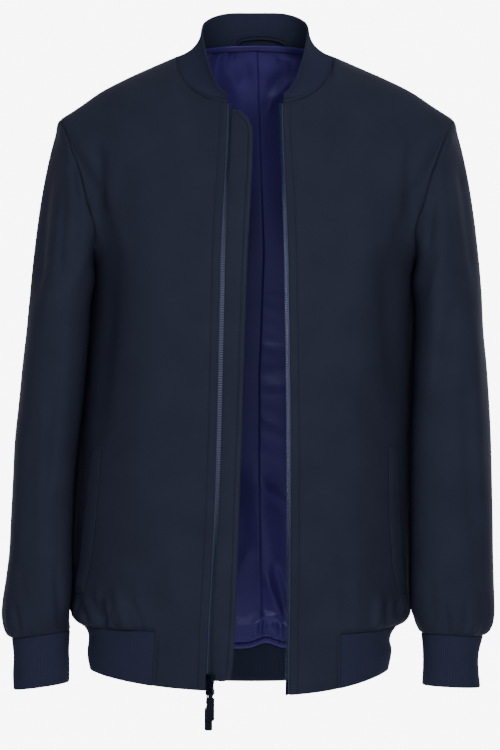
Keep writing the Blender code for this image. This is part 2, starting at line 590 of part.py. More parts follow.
def triangles_of(cell, points):
    """A cell as triangles, the same on both faces, cut along its shorter diagonal;
    one with an extra point on an edge fans out from that point."""
    if len(cell) == 4:
        first, second = (np.linalg.norm(points[cell[k]] - points[cell[k + 2]]) for k in (0, 1))
        a, b, c, d = cell if first <= second * 1.02 else cell[1:] + cell[:1]
        return [(a, b, c), (a, c, d)]
    extra = next(k for k in range(5) if cell[k][1] % 2)
    ring = cell[extra:] + cell[:extra]
    return [(ring[0], ring[k], ring[k + 1]) for k in (1, 2, 3)]


def cloth_wall(name, outer, inner, cells, colour):
    """A closed wall between two grids: both faces and a strip along each free edge."""
    around = closed_round(outer)
    last = outer.shape[1] - 1
    index, corners, faces = {}, [], []

    def corner(layer, r, c):
        key = (layer, r, 0 if around and c == last else c)
        if key not in index:
            index[key] = len(corners)
            corners.append((outer, inner)[layer][key[1], key[2]])
        return index[key]

    edges = {}
    for cell in (triangle for whole in cells for triangle in triangles_of(whole, outer)):
        out = [corner(0, r, c) for r, c in cell]
        back = [corner(1, r, c) for r, c in cell]
        faces += [out, back[::-1]]
        for k in range(len(cell)):
            n = (k + 1) % len(cell)
            edges[(out[k], out[n])] = (back[n], back[k])
    for (a, b), (d, c) in edges.items():
        if (b, a) not in edges:
            faces.append([b, a, c, d])
    mesh = bpy.data.meshes.new(name)
    mesh.from_pydata([tuple(p) for p in corners], [], faces)
    model = bmesh.new()
    model.from_mesh(mesh)
    face_outwards(model)
    model.to_mesh(mesh)
    model.free()
    mesh.shade_smooth()
    mesh.set_sharp_from_angle(angle=math.radians(50))
    return add_piece(name, mesh, colour)


def along_row(row, distances):
    """Points along one row of a grid, measured from its first point; negative
    distances run on straight past that point."""
    length = np.concatenate([[0], np.cumsum(np.linalg.norm(np.diff(row, axis=0), axis=1))])
    distances = np.asarray(distances, float)
    inside = np.stack([np.interp(distances, length, row[:, k]) for k in range(row.shape[1])], 1)
    back = (row[0] - row[1]) / length[1]
    return inside + np.maximum(-distances, 0)[:, None] * back


def laid_strip(name, points, normals, rows, distances, low, high, colour):
    """A strip that lies on a grid: for each row, the distances across it and the
    heights of its two faces over the cloth."""
    outer, inner = [], []
    for r, across, lift_low, lift_high in zip(rows, distances, low, high):
        place = along_row(points[r], np.asarray(across, float))
        facing = along_row(normals[r], np.maximum(across, 0.0))
        facing /= np.linalg.norm(facing, axis=1, keepdims=True)
        outer.append(place + facing * np.asarray(lift_high)[:, None])
        inner.append(place + facing * np.asarray(lift_low)[:, None])
    outer, inner = np.array(outer), np.array(inner)
    return cloth_wall(name, outer, inner, plain_cells(outer), colour)


# --- Scene helpers ---------------------------------------------------------------


def clear_scene():
    for item in list(bpy.data.objects):
        bpy.data.objects.remove(item, do_unlink=True)


def material(name, colour, roughness=0.85, metallic=0.0):
    made = bpy.data.materials.new(name)
    made.use_nodes = True
    shader = made.node_tree.nodes["Principled BSDF"]
    shader.inputs["Base Color"].default_value = (*colour, 1)
    shader.inputs["Roughness"].default_value = roughness
    shader.inputs["Metallic"].default_value = metallic
    return made


def add_piece(name, mesh, colour):
    piece = bpy.data.objects.new(name, mesh)
    bpy.data.collections["bomber_jacket"].objects.link(piece)
    metal = colour == "metal"
    mesh.materials.clear()
    mesh.materials.append(material(name, COLOURS[colour], 0.35 if metal else 0.85, 1.0 if metal else 0.0))
    return piece


def boolean(piece, cutter, operation):
    step = piece.modifiers.new(operation.lower(), "BOOLEAN")
    step.object = cutter
    step.operation = operation
    step.solver = "EXACT"


def as_cutter(piece):
    bpy.data.collections["bomber_jacket"].objects.unlink(piece)
    bpy.data.collections["cutters"].objects.link(piece)
    piece.hide_render = True
    piece.display_type = "WIRE"
    return piece


def bevelled_box(name, size, colour, bevel, segments=2):
    """A box about the origin, with rounded edges if it has a bevel."""
    model = bmesh.new()
    bmesh.ops.create_cube(model, size=1.0)
    bmesh.ops.scale(model, vec=size, verts=model.verts)
    mesh = bpy.data.meshes.new(name)
    model.to_mesh(mesh)
    model.free()
    piece = add_piece(name, mesh, colour)
    if bevel:
        step = piece.modifiers.new("bevel", "BEVEL")
        step.width = bevel
        step.segments = segments
    return piece


def wire(name, points, radius, closed, colour):
    """A round wire along points, as a mesh with welded caps."""
    curve = bpy.data.curves.new(name, "CURVE")
    curve.dimensions = "3D"
    curve.bevel_depth = radius
    curve.bevel_resolution = 1
    curve.use_fill_caps = True
    run = curve.splines.new("POLY")
    run.points.add(len(points) - 1)
    for place, p in zip(run.points, points):
        place.co = (*p, 1)
    run.use_cyclic_u = closed
    path = bpy.data.objects.new(name + "_path", curve)
    bpy.context.scene.collection.objects.link(path)
    bpy.context.view_layer.update()
    seen = path.evaluated_get(bpy.context.evaluated_depsgraph_get())
    mesh = bpy.data.meshes.new_from_object(seen)
    bpy.data.objects.remove(path, do_unlink=True)
    model = bmesh.new()
    model.from_mesh(mesh)
    bmesh.ops.remove_doubles(model, verts=model.verts, dist=1e-6)
    face_outwards(model)
    model.to_mesh(mesh)
    model.free()
    return add_piece(name, mesh, colour)


# --- The cloth pieces ------------------------------------------------------------


def main_grids():
    """Outer points of every outer piece, each with its normals."""
    below = RIB_LEVELS[:-1]
    grids = {}
    for side, name in ((RIGHT, "front_right"), (LEFT, "front_left")):
        grids[name] = half_grid(side, -1, below + BODY_LEVELS), -side
    back_halves = [half_grid(side, 1, below + BODY_LEVELS) for side in (RIGHT, LEFT)]
    whole_back = np.concatenate([back_halves[0][:, ::-1], back_halves[1][:, 1:]], axis=1)
    grids["back"] = whole_back, 1
    for side, name in ((RIGHT, "sleeve_right"), (LEFT, "sleeve_left")):
        grids[name] = sleeve_grid(side), side
    for side, name in ((RIGHT, "cuff_right"), (LEFT, "cuff_left")):
        grids[name] = cuff_grid(side), side
    grids["collar"] = collar_grid(), 1
    folded = {}
    for name, (points, normals) in with_normals(grids).items():
        folded[name] = points + normals * fold_height(points)[..., None], grids[name][1]
    return with_normals(folded)


def body_pieces(pieces):
    """The two fronts, the back and the rib hem, which share one set of grids."""
    below = len(RIB_LEVELS) - 1
    fine = (below, below + FINE_BODY_ROWS)
    notch = 2 * NOTCH_COLUMN
    for name in ("front_right", "front_left"):
        points, normals = pieces[name]
        outer = inset(points, normals, SEAM_GAP / 2, bottom=False, start=False)
        inner = outer - normals * OUTER_CLOTH
        cells = coarse_cells(*outer.shape[:2], *fine, skip=lambda r, c: r < below and c >= notch)
        cloth_wall(name, outer, inner, cells, "twill")
    points, normals = pieces["back"]
    points, normals = points[below:], normals[below:]
    outer = inset(points, normals, SEAM_GAP / 2, bottom=False)
    cells = coarse_cells(*outer.shape[:2], 0, FINE_BODY_ROWS)
    cloth_wall("back", outer, outer - normals * OUTER_CLOTH, cells, "twill")

    right, left = pieces["front_right"], pieces["front_left"]
    hem = [np.concatenate([right[k][:below + 1, notch:], pieces["back"][k][:below + 1, 1:-1],
                           left[k][:below + 1, notch:][:, ::-1]], axis=1) for k in (0, 1)]
    outer = inset(hem[0], hem[1], SEAM_GAP, bottom=False)
    cells = coarse_cells(*outer.shape[:2])
    cloth_wall("hem_rib", outer, outer - hem[1] * RIB_KNIT, cells, "rib")


def sleeve_pieces(pieces):
    for side_name in ("right", "left"):
        points, normals = pieces["sleeve_" + side_name]
        outer = inset(points, normals, SEAM_GAP)
        rows = outer.shape[0]
        cells = coarse_cells(*outer.shape[:2], rows - 1 - FINE_SLEEVE_ROWS, rows - 1)
        cloth_wall("sleeve_" + side_name, outer, outer - normals * OUTER_CLOTH, cells, "twill")
        points, normals = pieces["cuff_" + side_name]
        outer = inset(points, normals, SEAM_GAP / 2, top=False)
        cells = coarse_cells(*outer.shape[:2])
        cloth_wall("cuff_" + side_name, outer, outer - normals * RIB_KNIT, cells, "rib")


def collar_piece(pieces):
    points, normals = pieces["collar"]
    outer = inset(points, normals, SEAM_GAP, top=False, start=False, end=False)
    return cloth_wall("collar", outer, outer - normals * RIB_KNIT, plain_cells(outer), "rib")


def zip_tapes(pieces):
    for name in ("right", "left"):
        points, normals = pieces["front_" + name]
        points, normals = points[:, ::2].copy(), normals[:, ::2]
        points[-1] += (points[-2] - points[-1]) * ZIP_TOP_SHORT
        rows = range(points.shape[0])
        under = -OUTER_CLOTH - LAID_GAP
        middle = under - TAPE_THICK / 2
        past = -TAPE_SHOWN
        across = [TAPE_UNDER, 0.0, past, past - 0.0003, past - TEETH_WIDTH]
        half = [TAPE_THICK / 2] * 3 + [TEETH_THICK / 2] * 2
        high = [middle + h for h in half]
        low = [middle - h for h in half]
        count = len(rows)
        laid_strip("zip_tape_" + name, points, normals, rows, [across[::-1]] * count,
                   [low[::-1]] * count, [high[::-1]] * count, "zip")


def underlap_piece(pieces):
    """The flap behind the right zip; its free edge follows its own table."""
    points, normals = (grid[:, ::2].copy() for grid in pieces["front_right"])
    points[-1] += (points[-2] - points[-1]) * UNDERLAP_TOP_SHORT
    share = UNDERLAP_CORNER
    points, normals = (np.insert(grid, -1, grid[-2] * (1 - share) + grid[-1] * share, axis=0)
                       for grid in (points, normals))
    heights = points[:, 0, 2]
    rows = [r for r in range(len(heights)) if heights[r] > UNDERLAP_EDGE[-1, 0] - 0.004]
    low, high, across = [], [], []
    under = -OUTER_CLOTH - LAID_GAP - TAPE_THICK / 2 - TEETH_THICK / 2 - 2 * LAID_GAP
    for r in rows:
        edge = abs(points[r, 0, 0]) - column_of(UNDERLAP_EDGE, heights[r], 1)
        across.append([-edge, -edge * 0.66, -edge * 0.33, 0.0, UNDERLAP_UNDER])
        behind = under - UNDERLAP_CLEAR * smooth_step(-0.66, -0.715, heights[r])
        high.append([behind] * 5)
        low.append([behind - UNDERLAP_THICK] * 5)
    laid_strip("underlap", points, normals, rows, across, low, high, "twill")


def pocket_welts(pieces):
    for name in ("right", "left"):
        points, normals = pieces["front_" + name]
        turned, facing = points[:, ::-1], normals[:, ::-1]
        heights = turned[:, 0, 2]
        top, bottom = WELT_LINES[0, 0], WELT_LINES[-1, 0]
        rows = [r for r in range(len(heights)) if bottom - 0.012 < heights[r] < top + 0.012]
        across, low, high = [], [], []
        for r in rows:
            start = column_of(WELT_LINES, heights[r], 1)
            width = column_of(WELT_LINES, heights[r], 2)
            across.append(start + width * np.linspace(0, 1, 5))
            low.append([LAID_GAP] * 5)
            high.append([LAID_GAP + WELT_THICK] * 5)
        laid_strip("pocket_welt_" + name, turned, facing, rows, across, low, high, "twill")


def lining_pieces(pieces):
    """The lining of the back, in two halves that meet at its middle seam."""
    points, normals = pieces["back"]
    middle = points.shape[1] // 2
    levels = RIB_LEVELS[:-1] + BODY_LEVELS
    rows = [levels.index(level) for level in LINING_LEVELS] + list(range(len(levels), points.shape[0]))
    depth = np.interp(-points[rows, middle, 2], *np.transpose(LINING_DEPTHS))
    for name, columns in (("right", slice(0, middle + 1, 2)), ("left", slice(middle, None, 2))):
        grid = points[rows][:, columns] - normals[rows][:, columns] * depth[:, None, None]
        facing = normals[rows][:, columns]
        outer = inset(grid, facing, SEAM_GAP / 2)
        at_neck = np.abs(outer[-1, :, :1]) < SHOULDER[0, 0]
        outer[-1] += (outer[-2] - outer[-1]) * np.where(at_neck, LINING_SHORT_AT_NECK, LINING_SHORT)
        cloth_wall("lining_back_" + name, outer, outer - facing * LINING, plain_cells(outer), "satin")


def lining_trims(pieces):
    """The gathered roll along the lining's foot and the band inside the neck seam."""
    points, normals = (grid[:, ::2] for grid in pieces["back"])
    foot, below = len(RIB_LEVELS) - 2, len(RIB_LEVELS) - 3
    outer = [points[foot] + (points[below] - points[foot]) * share - normals[foot] * near
             for share, near, _ in PIPING_PROFILE]
    inner = [points[foot] + (points[below] - points[foot]) * share - normals[foot] * far
             for share, _, far in PIPING_PROFILE]
    cloth_wall("lining_piping", np.array(outer), np.array(inner), plain_cells(np.array(outer)), "satin")

    reach = NECK_BACK_COLUMNS - 1
    middle = points.shape[1] // 2
    neck = slice(middle - reach, middle + reach + 1)
    low = drawn_in(points[-1, neck], points[-2, neck], normals[-1, neck], NECK_BAND_BELOW)
    low = low - normals[-1, neck] * (LINING_DEPTHS[0][1] + LINING + LAID_GAP + SEAM_GAP)
    collar, facing = pieces["collar"]
    middle = collar.shape[1] // 2
    around = slice(middle - reach, middle + reach + 1)
    high = collar[0, around] + (collar[1, around] - collar[0, around]) * NECK_BAND_SHARE
    high = high - facing[1, around] * (RIB_KNIT + LAID_GAP)
    outer = np.array([low, high])
    inward = grid_normals(outer, -1)
    cloth_wall("lining_neck_band", outer, outer + inward * NECK_BAND_THICK, plain_cells(outer), "satin")


def hanger_loop(collar):
    """A flat strip bowed up between its two ends, on the inside of the collar."""
    line = spline([(x, 0, z) for x, z in HANGER_LINE], np.linspace(0, 1, 15))
    up = np.gradient(line, axis=0)
    side = np.cross(up, (0, 1.0, 0))
    side /= np.linalg.norm(side, axis=1, keepdims=True)
    back = np.stack([line - side * HANGER_WIDTH / 2, line + side * HANGER_WIDTH / 2], 1)
    corners, faces = collar.data.vertices, collar.data.polygons
    wall = BVHTree.FromPolygons([v.co for v in corners], [f.vertices[:] for f in faces])
    for place in back.reshape(-1, 3):
        met = wall.ray_cast(Vector(place), Vector((0, 1, 0)))[0]
        place[1] = met.y - HANGER_CLEAR
    front = back - np.array([0, HANGER_THICK, 0])
    cells = [((r, 0), (r, 1), (r + 1, 1), (r + 1, 0)) for r in range(len(line) - 1)]
    cloth_wall("hanger_loop", back, front, cells, "twill")


# --- Sliders and pulls -----------------------------------------------------------


def seat(piece, frame, place=(0, 0, 0)):
    """Puts a piece that was made at the origin into a slider's frame."""
    piece.location = frame @ Vector(place)
    piece.rotation_euler = frame.to_euler()
    return piece


def slider(name, frame, facing):
    """Two plates that hold the teeth in one of two open channels, and a bail."""
    gap = TEETH_THICK + 2 * LAID_GAP
    depth = gap + 2 * SLIDER_PLATE
    body = seat(bevelled_box(name, (SLIDER_WIDTH, depth, SLIDER_HEIGHT), "metal", 0.0005, 2), frame)
    for hand in (-1, 1):
        slot = bevelled_box(name + "_slot", (SLIDER_WIDTH, gap, 2 * SLIDER_HEIGHT), "metal", 0)
        seat(slot, frame, (hand * (SLIDER_WALL + SLIDER_WIDTH) / 2, 0, 0))
        boolean(body, as_cutter(slot), "DIFFERENCE")
    foot_y = facing * (depth / 2 - SLIDER_PLATE / 2)
    top_y = facing * (depth / 2 + BAIL_REACH)
    feet = 0.34 * SLIDER_HEIGHT
    arch = [(0, foot_y, -feet), (0, 0.3 * foot_y + 0.7 * top_y, -feet), (0, top_y, -0.55 * feet),
            (0, top_y, 0.55 * feet), (0, 0.3 * foot_y + 0.7 * top_y, feet), (0, foot_y, feet)]
    bail = seat(wire(name + "_bail", arch, BAIL_WIRE, False, "metal"), frame)
    boolean(body, as_cutter(bail), "UNION")
    return frame @ Matrix.Translation((0, facing * (depth / 2 + BAIL_HOLE), 0))


def tab_neck(name):
    """The tab's narrow upper end, with a round head about the eye."""
    half, inset = TAB_NECK_WIDTH / 2, 0.0003
    radius = TAB_NECK_RADIUS
    profile = [(radius * math.cos(a), radius * math.sin(a)) for a in np.linspace(0, math.pi, 11)]
    profile += [(-radius, -TAB_NECK_BELOW), (radius, -TAB_NECK_BELOW)]
    stations = ((-half, inset), (inset - half, 0), (half - inset, 0), (half, inset))
    count = len(profile)
    points = [(x, y * (1 - cut / radius), z * (1 - cut / radius)) for x, cut in stations for y, z in profile]
    faces = [tuple(reversed(range(count))), tuple(range(3 * count, 4 * count))]
    for start in (0, count, 2 * count):
        for a in range(count):
            b = (a + 1) % count
            faces.append((start + a, start + b, start + count + b, start + count + a))
    mesh = bpy.data.meshes.new(name)
    mesh.from_pydata(points, [], faces)
    return add_piece(name, mesh, "moulding")


def pull(name, hinge):
    """A link hung in a bail, and a moulded tab hung in the link."""
    points = [(x, 0, -down) for x, down in LINK_OUTLINE]
    points += [(-x, 0, z) for x, _, z in points[::-1]]
    lean = Matrix.Rotation(LINK_LEAN[name], 4, "Y")
    seat(wire("link_" + name, points, LINK_WIRE, True, "metal"), hinge @ lean)
    eye = hinge @ lean @ Matrix.Translation((0, 0, -LINK_OUTLINE[-1][1])) @ lean.inverted()
    tab = bevelled_box("tab_" + name, (TAB_WIDTH, TAB_THICK, TAB_HEIGHT), "moulding", 0.0008, 1)
    for vertex in tab.data.vertices:
        vertex.co.z -= TAB_DROP + TAB_HEIGHT / 2
    seat(tab, eye)
    neck = seat(tab_neck("tab_neck_" + name), eye)
    boolean(tab, as_cutter(neck), "UNION")
    model = bmesh.new()
    bmesh.ops.create_cone(model, cap_ends=True, segments=12, radius1=TAB_EYE, radius2=TAB_EYE,
                          depth=2 * TAB_WIDTH)
    mesh = bpy.data.meshes.new("tab_eye_" + name)
    bmesh.ops.rotate(model, matrix=Matrix.Rotation(math.pi / 2, 3, "Y"), verts=model.verts)
    model.to_mesh(mesh)
    model.free()
    hole = seat(add_piece("tab_eye_" + name, mesh, "moulding"), eye)
    boolean(tab, as_cutter(hole), "DIFFERENCE")


def sliders_and_pulls(pieces):
    """The sliders sit on the teeth near the foot of the right front, square to it."""
    points, normals = pieces["front_right"]
    past_edge = TAPE_SHOWN + TEETH_WIDTH + SEAM_GAP + SLIDER_WALL / 2
    behind = OUTER_CLOTH + LAID_GAP + TAPE_THICK / 2
    rows = range(2 * len(RIB_LEVELS))
    middles = np.array([along_row(points[r], [-past_edge])[0] - normals[r, 0] * behind for r in rows])
    for name, level, facing in (("upper", UPPER_SLIDER_Z, -1.0), ("lower", LOWER_SLIDER_Z, 1.0)):
        x, y = (np.interp(level, middles[:, 2], middles[:, k]) for k in (0, 1))
        nx, ny = (np.interp(level, middles[:, 2], normals[rows, 0, k]) for k in (0, 1))
        frame = Matrix.Translation((x, y, level)) @ Matrix.Rotation(math.atan2(nx, -ny), 4, "Z")
        pull(name, slider("slider_" + name, frame, facing))


def build():
    clear_scene()
    for name in ("bomber_jacket", "cutters"):
        bpy.context.scene.collection.children.link(bpy.data.collections.new(name))
    pieces = main_grids()
    body_pieces(pieces)
    sleeve_pieces(pieces)
    collar = collar_piece(pieces)
    zip_tapes(pieces)
    underlap_piece(pieces)
    pocket_welts(pieces)
    lining_pieces(pieces)
    lining_trims(pieces)
    hanger_loop(collar)
    sliders_and_pulls(pieces)


build()
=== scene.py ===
# %% [markdown]
# # A bomber jacket, dressed
# The jacket stands as it is worn, with nobody in it. Its solids are already made,
# and this file puts cloth in their place: the same surfaces with many more points,
# so that seams, gathers and creases show, and with a finish for each material.
# Sizes are in metres, and in millimetres in the tables that mm() reads. +X is the
# wearer's left, -Y the front and +Z up.

import json
import math

import bmesh
import bpy
import numpy as np
from mathutils import Matrix, Vector
from mathutils.bvhtree import BVHTree


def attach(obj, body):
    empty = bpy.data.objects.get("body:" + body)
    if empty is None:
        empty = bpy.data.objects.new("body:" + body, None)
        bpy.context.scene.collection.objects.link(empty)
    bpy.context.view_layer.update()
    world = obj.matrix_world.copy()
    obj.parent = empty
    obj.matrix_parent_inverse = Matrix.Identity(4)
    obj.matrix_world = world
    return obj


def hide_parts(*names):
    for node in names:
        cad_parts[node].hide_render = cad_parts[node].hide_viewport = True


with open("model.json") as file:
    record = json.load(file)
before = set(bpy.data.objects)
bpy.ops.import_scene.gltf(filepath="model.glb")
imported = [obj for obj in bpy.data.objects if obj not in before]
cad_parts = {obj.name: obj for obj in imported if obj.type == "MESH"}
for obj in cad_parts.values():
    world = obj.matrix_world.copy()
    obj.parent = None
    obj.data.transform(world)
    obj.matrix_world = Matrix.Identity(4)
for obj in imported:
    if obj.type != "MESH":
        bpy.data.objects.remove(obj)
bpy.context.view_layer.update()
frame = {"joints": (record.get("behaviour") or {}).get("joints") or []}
RIGHT, LEFT = -1.0, 1.0  # the wearer's sides, as the sign of x


def mm(rows):
    """A table of millimetres as an array in metres."""
    return np.array(rows, float) / 1000


def placed(name, data):
    """A new object in the scene."""
    thing = bpy.data.objects.new(name, data)
    bpy.context.scene.collection.objects.link(thing)
    return thing


def mesh_of(name, model):
    """A mesh with what was built in model, which is then let go."""
    mesh = bpy.data.meshes.new(name)
    model.to_mesh(mesh)
    model.free()
    return mesh


# %% [markdown]
# ## The camera
# A long lens from four and a half metres keeps the jacket's edges almost parallel.

# %% Camera
lens = bpy.data.cameras.new("camera")
lens.sensor_fit, lens.sensor_width, lens.sensor_height, lens.lens = "VERTICAL", 24.0, 36.0, 180.0
camera = placed("camera", lens)
camera.location = (-0.006, -4.5, -0.382)
camera.rotation_euler = (math.pi / 2, 0, 0)
bpy.context.scene.camera = camera
print("camera at", tuple(camera.location))

# %% [markdown]
# ## The pattern tables
# A tailor's pattern is a set of measures. Here they are the widths and depths of the
# body and the sleeves at many heights, and the lines of the seams. They are the same
# as those of the solids, so that every piece of cloth falls on its solid.

# %% Body, hem and front measures
BODY_SECTIONS = mm([  # z, right, left, front, back
    (-275, 194, 191, 123, 118), (-300, 194.5, 190, 124.5, 119), (-350, 199, 188, 126, 119),
    (-400, 203, 186.5, 126, 118.5), (-450, 208.5, 184.5, 126, 119), (-500, 212.5, 184.5, 126, 120.5),
    (-550, 215.5, 184.5, 125.5, 123), (-600, 218, 184.5, 124.5, 126), (-625, 219, 184.2, 123.5, 127.5),
    (-645, 219.3, 184, 122.5, 128), (-662, 219.3, 183.2, 121.8, 126.8), (-672, 217, 181.8, 120.8, 124.5),
    (-678, 211.7, 176.5, 120, 121.5), (-684, 204.5, 169, 119.5, 119.5)])
RIB_SECTIONS = mm([
    (-684, 204.5, 169, 119.5, 119.5), (-691, 200.4, 164.5, 119, 118.5), (-700, 199.5, 162, 118.5, 118),
    (-722, 201, 164, 117.5, 118.5), (-742, 200, 162, 116.5, 118), (-752, 198, 160, 116, 117)])
BODY_POWER, SLEEVE_POWER, FLANK_SLANT = 0.84, 0.90, 0.20
CHEST_LEVEL, RIB_SEAM_LEVEL, HEM_LEVEL = -0.275, -0.684, -0.752
SIDE_LIFT_SEAM, SIDE_LIFT_HEM, BACK_DROP, LEFT_FRONT_DROP = 0.001, 0.0185, 0.006, 0.005
BACK_FLANK_SLANT = np.array([(-0.275, 0.25), (-0.300, 0.37), (-0.350, 0.45), (-0.752, 0.45)])  # z, slant
FRONT_EDGES = mm([  # z, right and left distance from the middle
    (-275, 41.5, 40), (-350, 43.2, 41.2), (-530, 48, 42.5), (-684, 56, 41.5), (-752, 58.6, 40.7)])
NOTCH_LINES = mm([
    (-275, 86, 84), (-500, 104, 94), (-684, 118, 101), (-752, 122, 101)])
print("body sections:", len(BODY_SECTIONS) + len(RIB_SECTIONS))

# %% Neck, shoulder, armhole and sleeve measures
NECK_BACK = mm([
    (0, 75, 16), (45, 68, 14), (80, 42, 8), (96, 5, 0)])
NECK_FRONT = mm([
    (96, 5, 0), (90, -22, -18.5), (77, -50, -37), (57, -76, -50), (34, -95, -57)])
COLLAR_TOP_BACK = mm([
    (0, 58, 57), (32, 54, 56.2), (51, 40, 50.6), (62, 18, 42), (65, -3, 31.5)])
COLLAR_TOP_FRONT = mm([
    (65, -3, 31.5), (60.5, -32, 4), (51, -62, -28), (42.5, -80, -44), (34.5, -91, -51.5)])
SHOULDER = mm([
    (96, 5, 0), (125, 6, -12.5), (155, 5, -26), (186, 3, -42), (212, 1, -60), (234.5, 0, -74.5)])
ARMHOLE_FRONT = mm([
    (234.5, 0, -74.5), (228.5, -24, -90), (219, -44, -114), (209, -56, -143), (199.5, -61, -175),
    (190, -55, -208), (192, -34, -238), (195.5, 3, -252)])
ARMHOLE_BACK = mm([
    (234.5, 0, -74.5), (229, 25, -90), (220, 45, -114), (210.5, 57, -143), (201, 62, -175), (192, 56, -208),
    (192.5, 35, -238), (195.5, 3, -252)])
SHOULDER_SHIFT = {RIGHT: -0.0015, LEFT: 0.0025}
SLEEVE_SECTIONS = {  # z, middle and half width in x, middle and half depth in y
    RIGHT: mm([
        (-290, 234.2, 35.7, 4, 73), (-330, 237.2, 37.2, 3, 71), (-370, 241.2, 37.8, 2, 69),
        (-412, 245.2, 37.8, 0, 67), (-460, 251, 37, -2, 64), (-508, 254.5, 35.8, -3, 61),
        (-556, 256.5, 36.3, -4, 58), (-598, 258.2, 36.8, -5, 56), (-628, 260, 39, -6, 55),
        (-650, 262.2, 40.2, -6, 53), (-668, 262.5, 39.5, -6, 50), (-682, 260.5, 37.5, -6, 45),
        (-693, 256.5, 35, -6, 35.5)]),
    LEFT: mm([
        (-290, 233.2, 39.2, 4, 73), (-330, 234.2, 40, 3, 71), (-370, 235, 43, 2, 69),
        (-412, 235.8, 45, 0, 67), (-460, 236, 47, -2, 64), (-508, 236.3, 47.8, -3, 61),
        (-556, 236.7, 48.3, -4, 58), (-598, 237, 48.5, -5, 56), (-628, 237.2, 49, -6, 55),
        (-650, 237.6, 49.2, -6, 53), (-668, 237.8, 48, -6, 50), (-682, 237.5, 44, -6, 45),
        (-693, 236.2, 37, -6, 35.5)]),
}
CUFF_SECTIONS = {
    RIGHT: mm([
        (-693, 256.5, 35, -6, 35.5), (-715, 256, 33.3, -6, 33.5), (-735, 256.2, 34, -6, 34),
        (-753, 256, 33.5, -6, 33.5)]),
    LEFT: mm([
        (-693, 236.2, 37, -6, 35.5), (-715, 234.5, 33.5, -6, 33.5), (-735, 234.5, 33.5, -6, 34),
        (-753, 235, 35, -6, 33.5)]),
}
SLEEVE_TOP_LEVEL, CUFF_SEAM_LEVEL = -0.290, -0.693
CUFF_TILT = {RIGHT: 0.0045, LEFT: 0.0015}
print("sleeve sections:", len(SLEEVE_SECTIONS[LEFT]) + len(CUFF_SECTIONS[LEFT]))

# %% [markdown]
# ## Folds and creases
# Cloth that hangs over a body never lies smooth. It falls in long soft folds below
# the armholes and creases where a sleeve bends. A simulation would put them wherever
# it liked, so each one is drawn instead: its two ends, the face it is on, its
# half width and how far it stands out or dips in.

# %% Folds
FOLDS = mm([  # x0, z0, x1, z1, face (-1 front, 1 back), width, height
    (-186, -105, -188, -200, -1, 10, -4.5), (-168, -240, -192, -480, -1, 14, -5),
    (-120, -100, -150, -330, -1, 26, 4), (-236, -100, -258, -300, -1, 12, -4),
    (-222, -290, -236, -520, -1, 13, 4.5), (-262, -420, -272, -640, -1, 12, -3.5),
    (-98, -560, -90, -680, -1, 16, 3), (190, -100, 184, -200, -1, 10, -4.5),
    (150, -230, 172, -430, -1, 14, -5), (118, -110, 140, -320, -1, 26, 4),
    (240, -110, 246, -280, -1, 12, -4), (226, -180, 208, -400, -1, 13, 4.5),
    (250, -380, 262, -620, -1, 12, -3.5), (82, -550, 90, -680, -1, 16, 3),
    (-150, -120, -135, -420, 1, 20, -5.5), (150, -130, 128, -440, 1, 20, -5),
    (-70, -300, -95, -620, 1, 24, 4.5), (60, -360, 85, -640, 1, 24, 4), (-5, -480, 12, -660, 1, 20, -3.5),
    (-232, -110, -252, -340, 1, 14, -4.5), (-246, -380, -262, -620, 1, 14, 4),
    (236, -120, 238, -330, 1, 14, -4), (222, -400, 246, -640, 1, 14, 4),
    (-187, -96, -181, -185, -1, 8, -2.2), (183, -105, 178, -190, -1, 8, -2),
    (-218, -105, -206, -225, -1, 4.5, -2.8), (216, -130, 204, -240, -1, 4.5, -2.6),
    (-248, -95, -262, -300, -1, 5.5, -3.6), (-258, -150, -276, -330, -1, 5, 2.6),
    (-226, -150, -232, -270, -1, 6, -3.2), (-196, -225, -222, -300, -1, 7, 2.2),
    (-238, -400, -252, -540, -1, 7, -2.6), (-283, -600, -272, -660, -1, 6, -2.2),
    (-236, -600, -230, -690, -1, 5, -2.8), (248, -110, 262, -280, -1, 6, -3.2),
    (224, -230, 206, -300, -1, 7, 2.4), (236, -300, 214, -400, -1, 7, -3),
    (258, -300, 268, -540, -1, 8, 2.8), (206, -620, 212, -680, -1, 6, -2),
    (274, -640, 264, -688, -1, 5, -2.4), (-166, -630, -150, -684, -1, 6, 4),
    (-182, -640, -178, -686, -1, 5, -4.2), (-146, -645, -130, -686, -1, 5, -3.4),
    (-197, -646, -176, -678, -1, 4.5, -5), (-190, -636, -164, -668, -1, 5, 3.4),
    (-212, -648, -198, -678, -1, 4, -4), (-288, -652, -279, -692, -1, 4, -4),
    (-262, -655, -258, -692, -1, 4.2, -2.6), (178, -643, 158, -682, -1, 4.5, -4),
    (170, -636, 188, -670, -1, 4.5, 3), (224, -650, 228, -692, -1, 4.5, -3.6),
    (252, -646, 250, -692, -1, 4.5, -3.4), (238, -656, 239, -692, -1, 4.5, 2.4),
    (148, -640, 140, -686, -1, 5.5, 3.6), (160, -645, 156, -686, -1, 4.5, -3.6),
    (-180, -110, -168, -250, 1, 9, 2.2), (182, -120, 170, -260, 1, 9, 2.2),
    (-110, -300, -150, -520, 1, 11, -2), (105, -320, 150, -540, 1, 11, -2),
    (-262, -300, -244, -420, 1, 7, -2.2), (258, -320, 240, -430, 1, 7, -2.2),
    (-268, -600, -258, -680, 1, 6, 2), (252, -600, 244, -680, 1, 6, 2)])


def smooth_step(low, high, value):
    """0 before low, 1 after high, and an even curve between them."""
    t = np.clip((np.asarray(value, float) - low) / (high - low), 0, 1)
    return t * t * (3 - 2 * t)


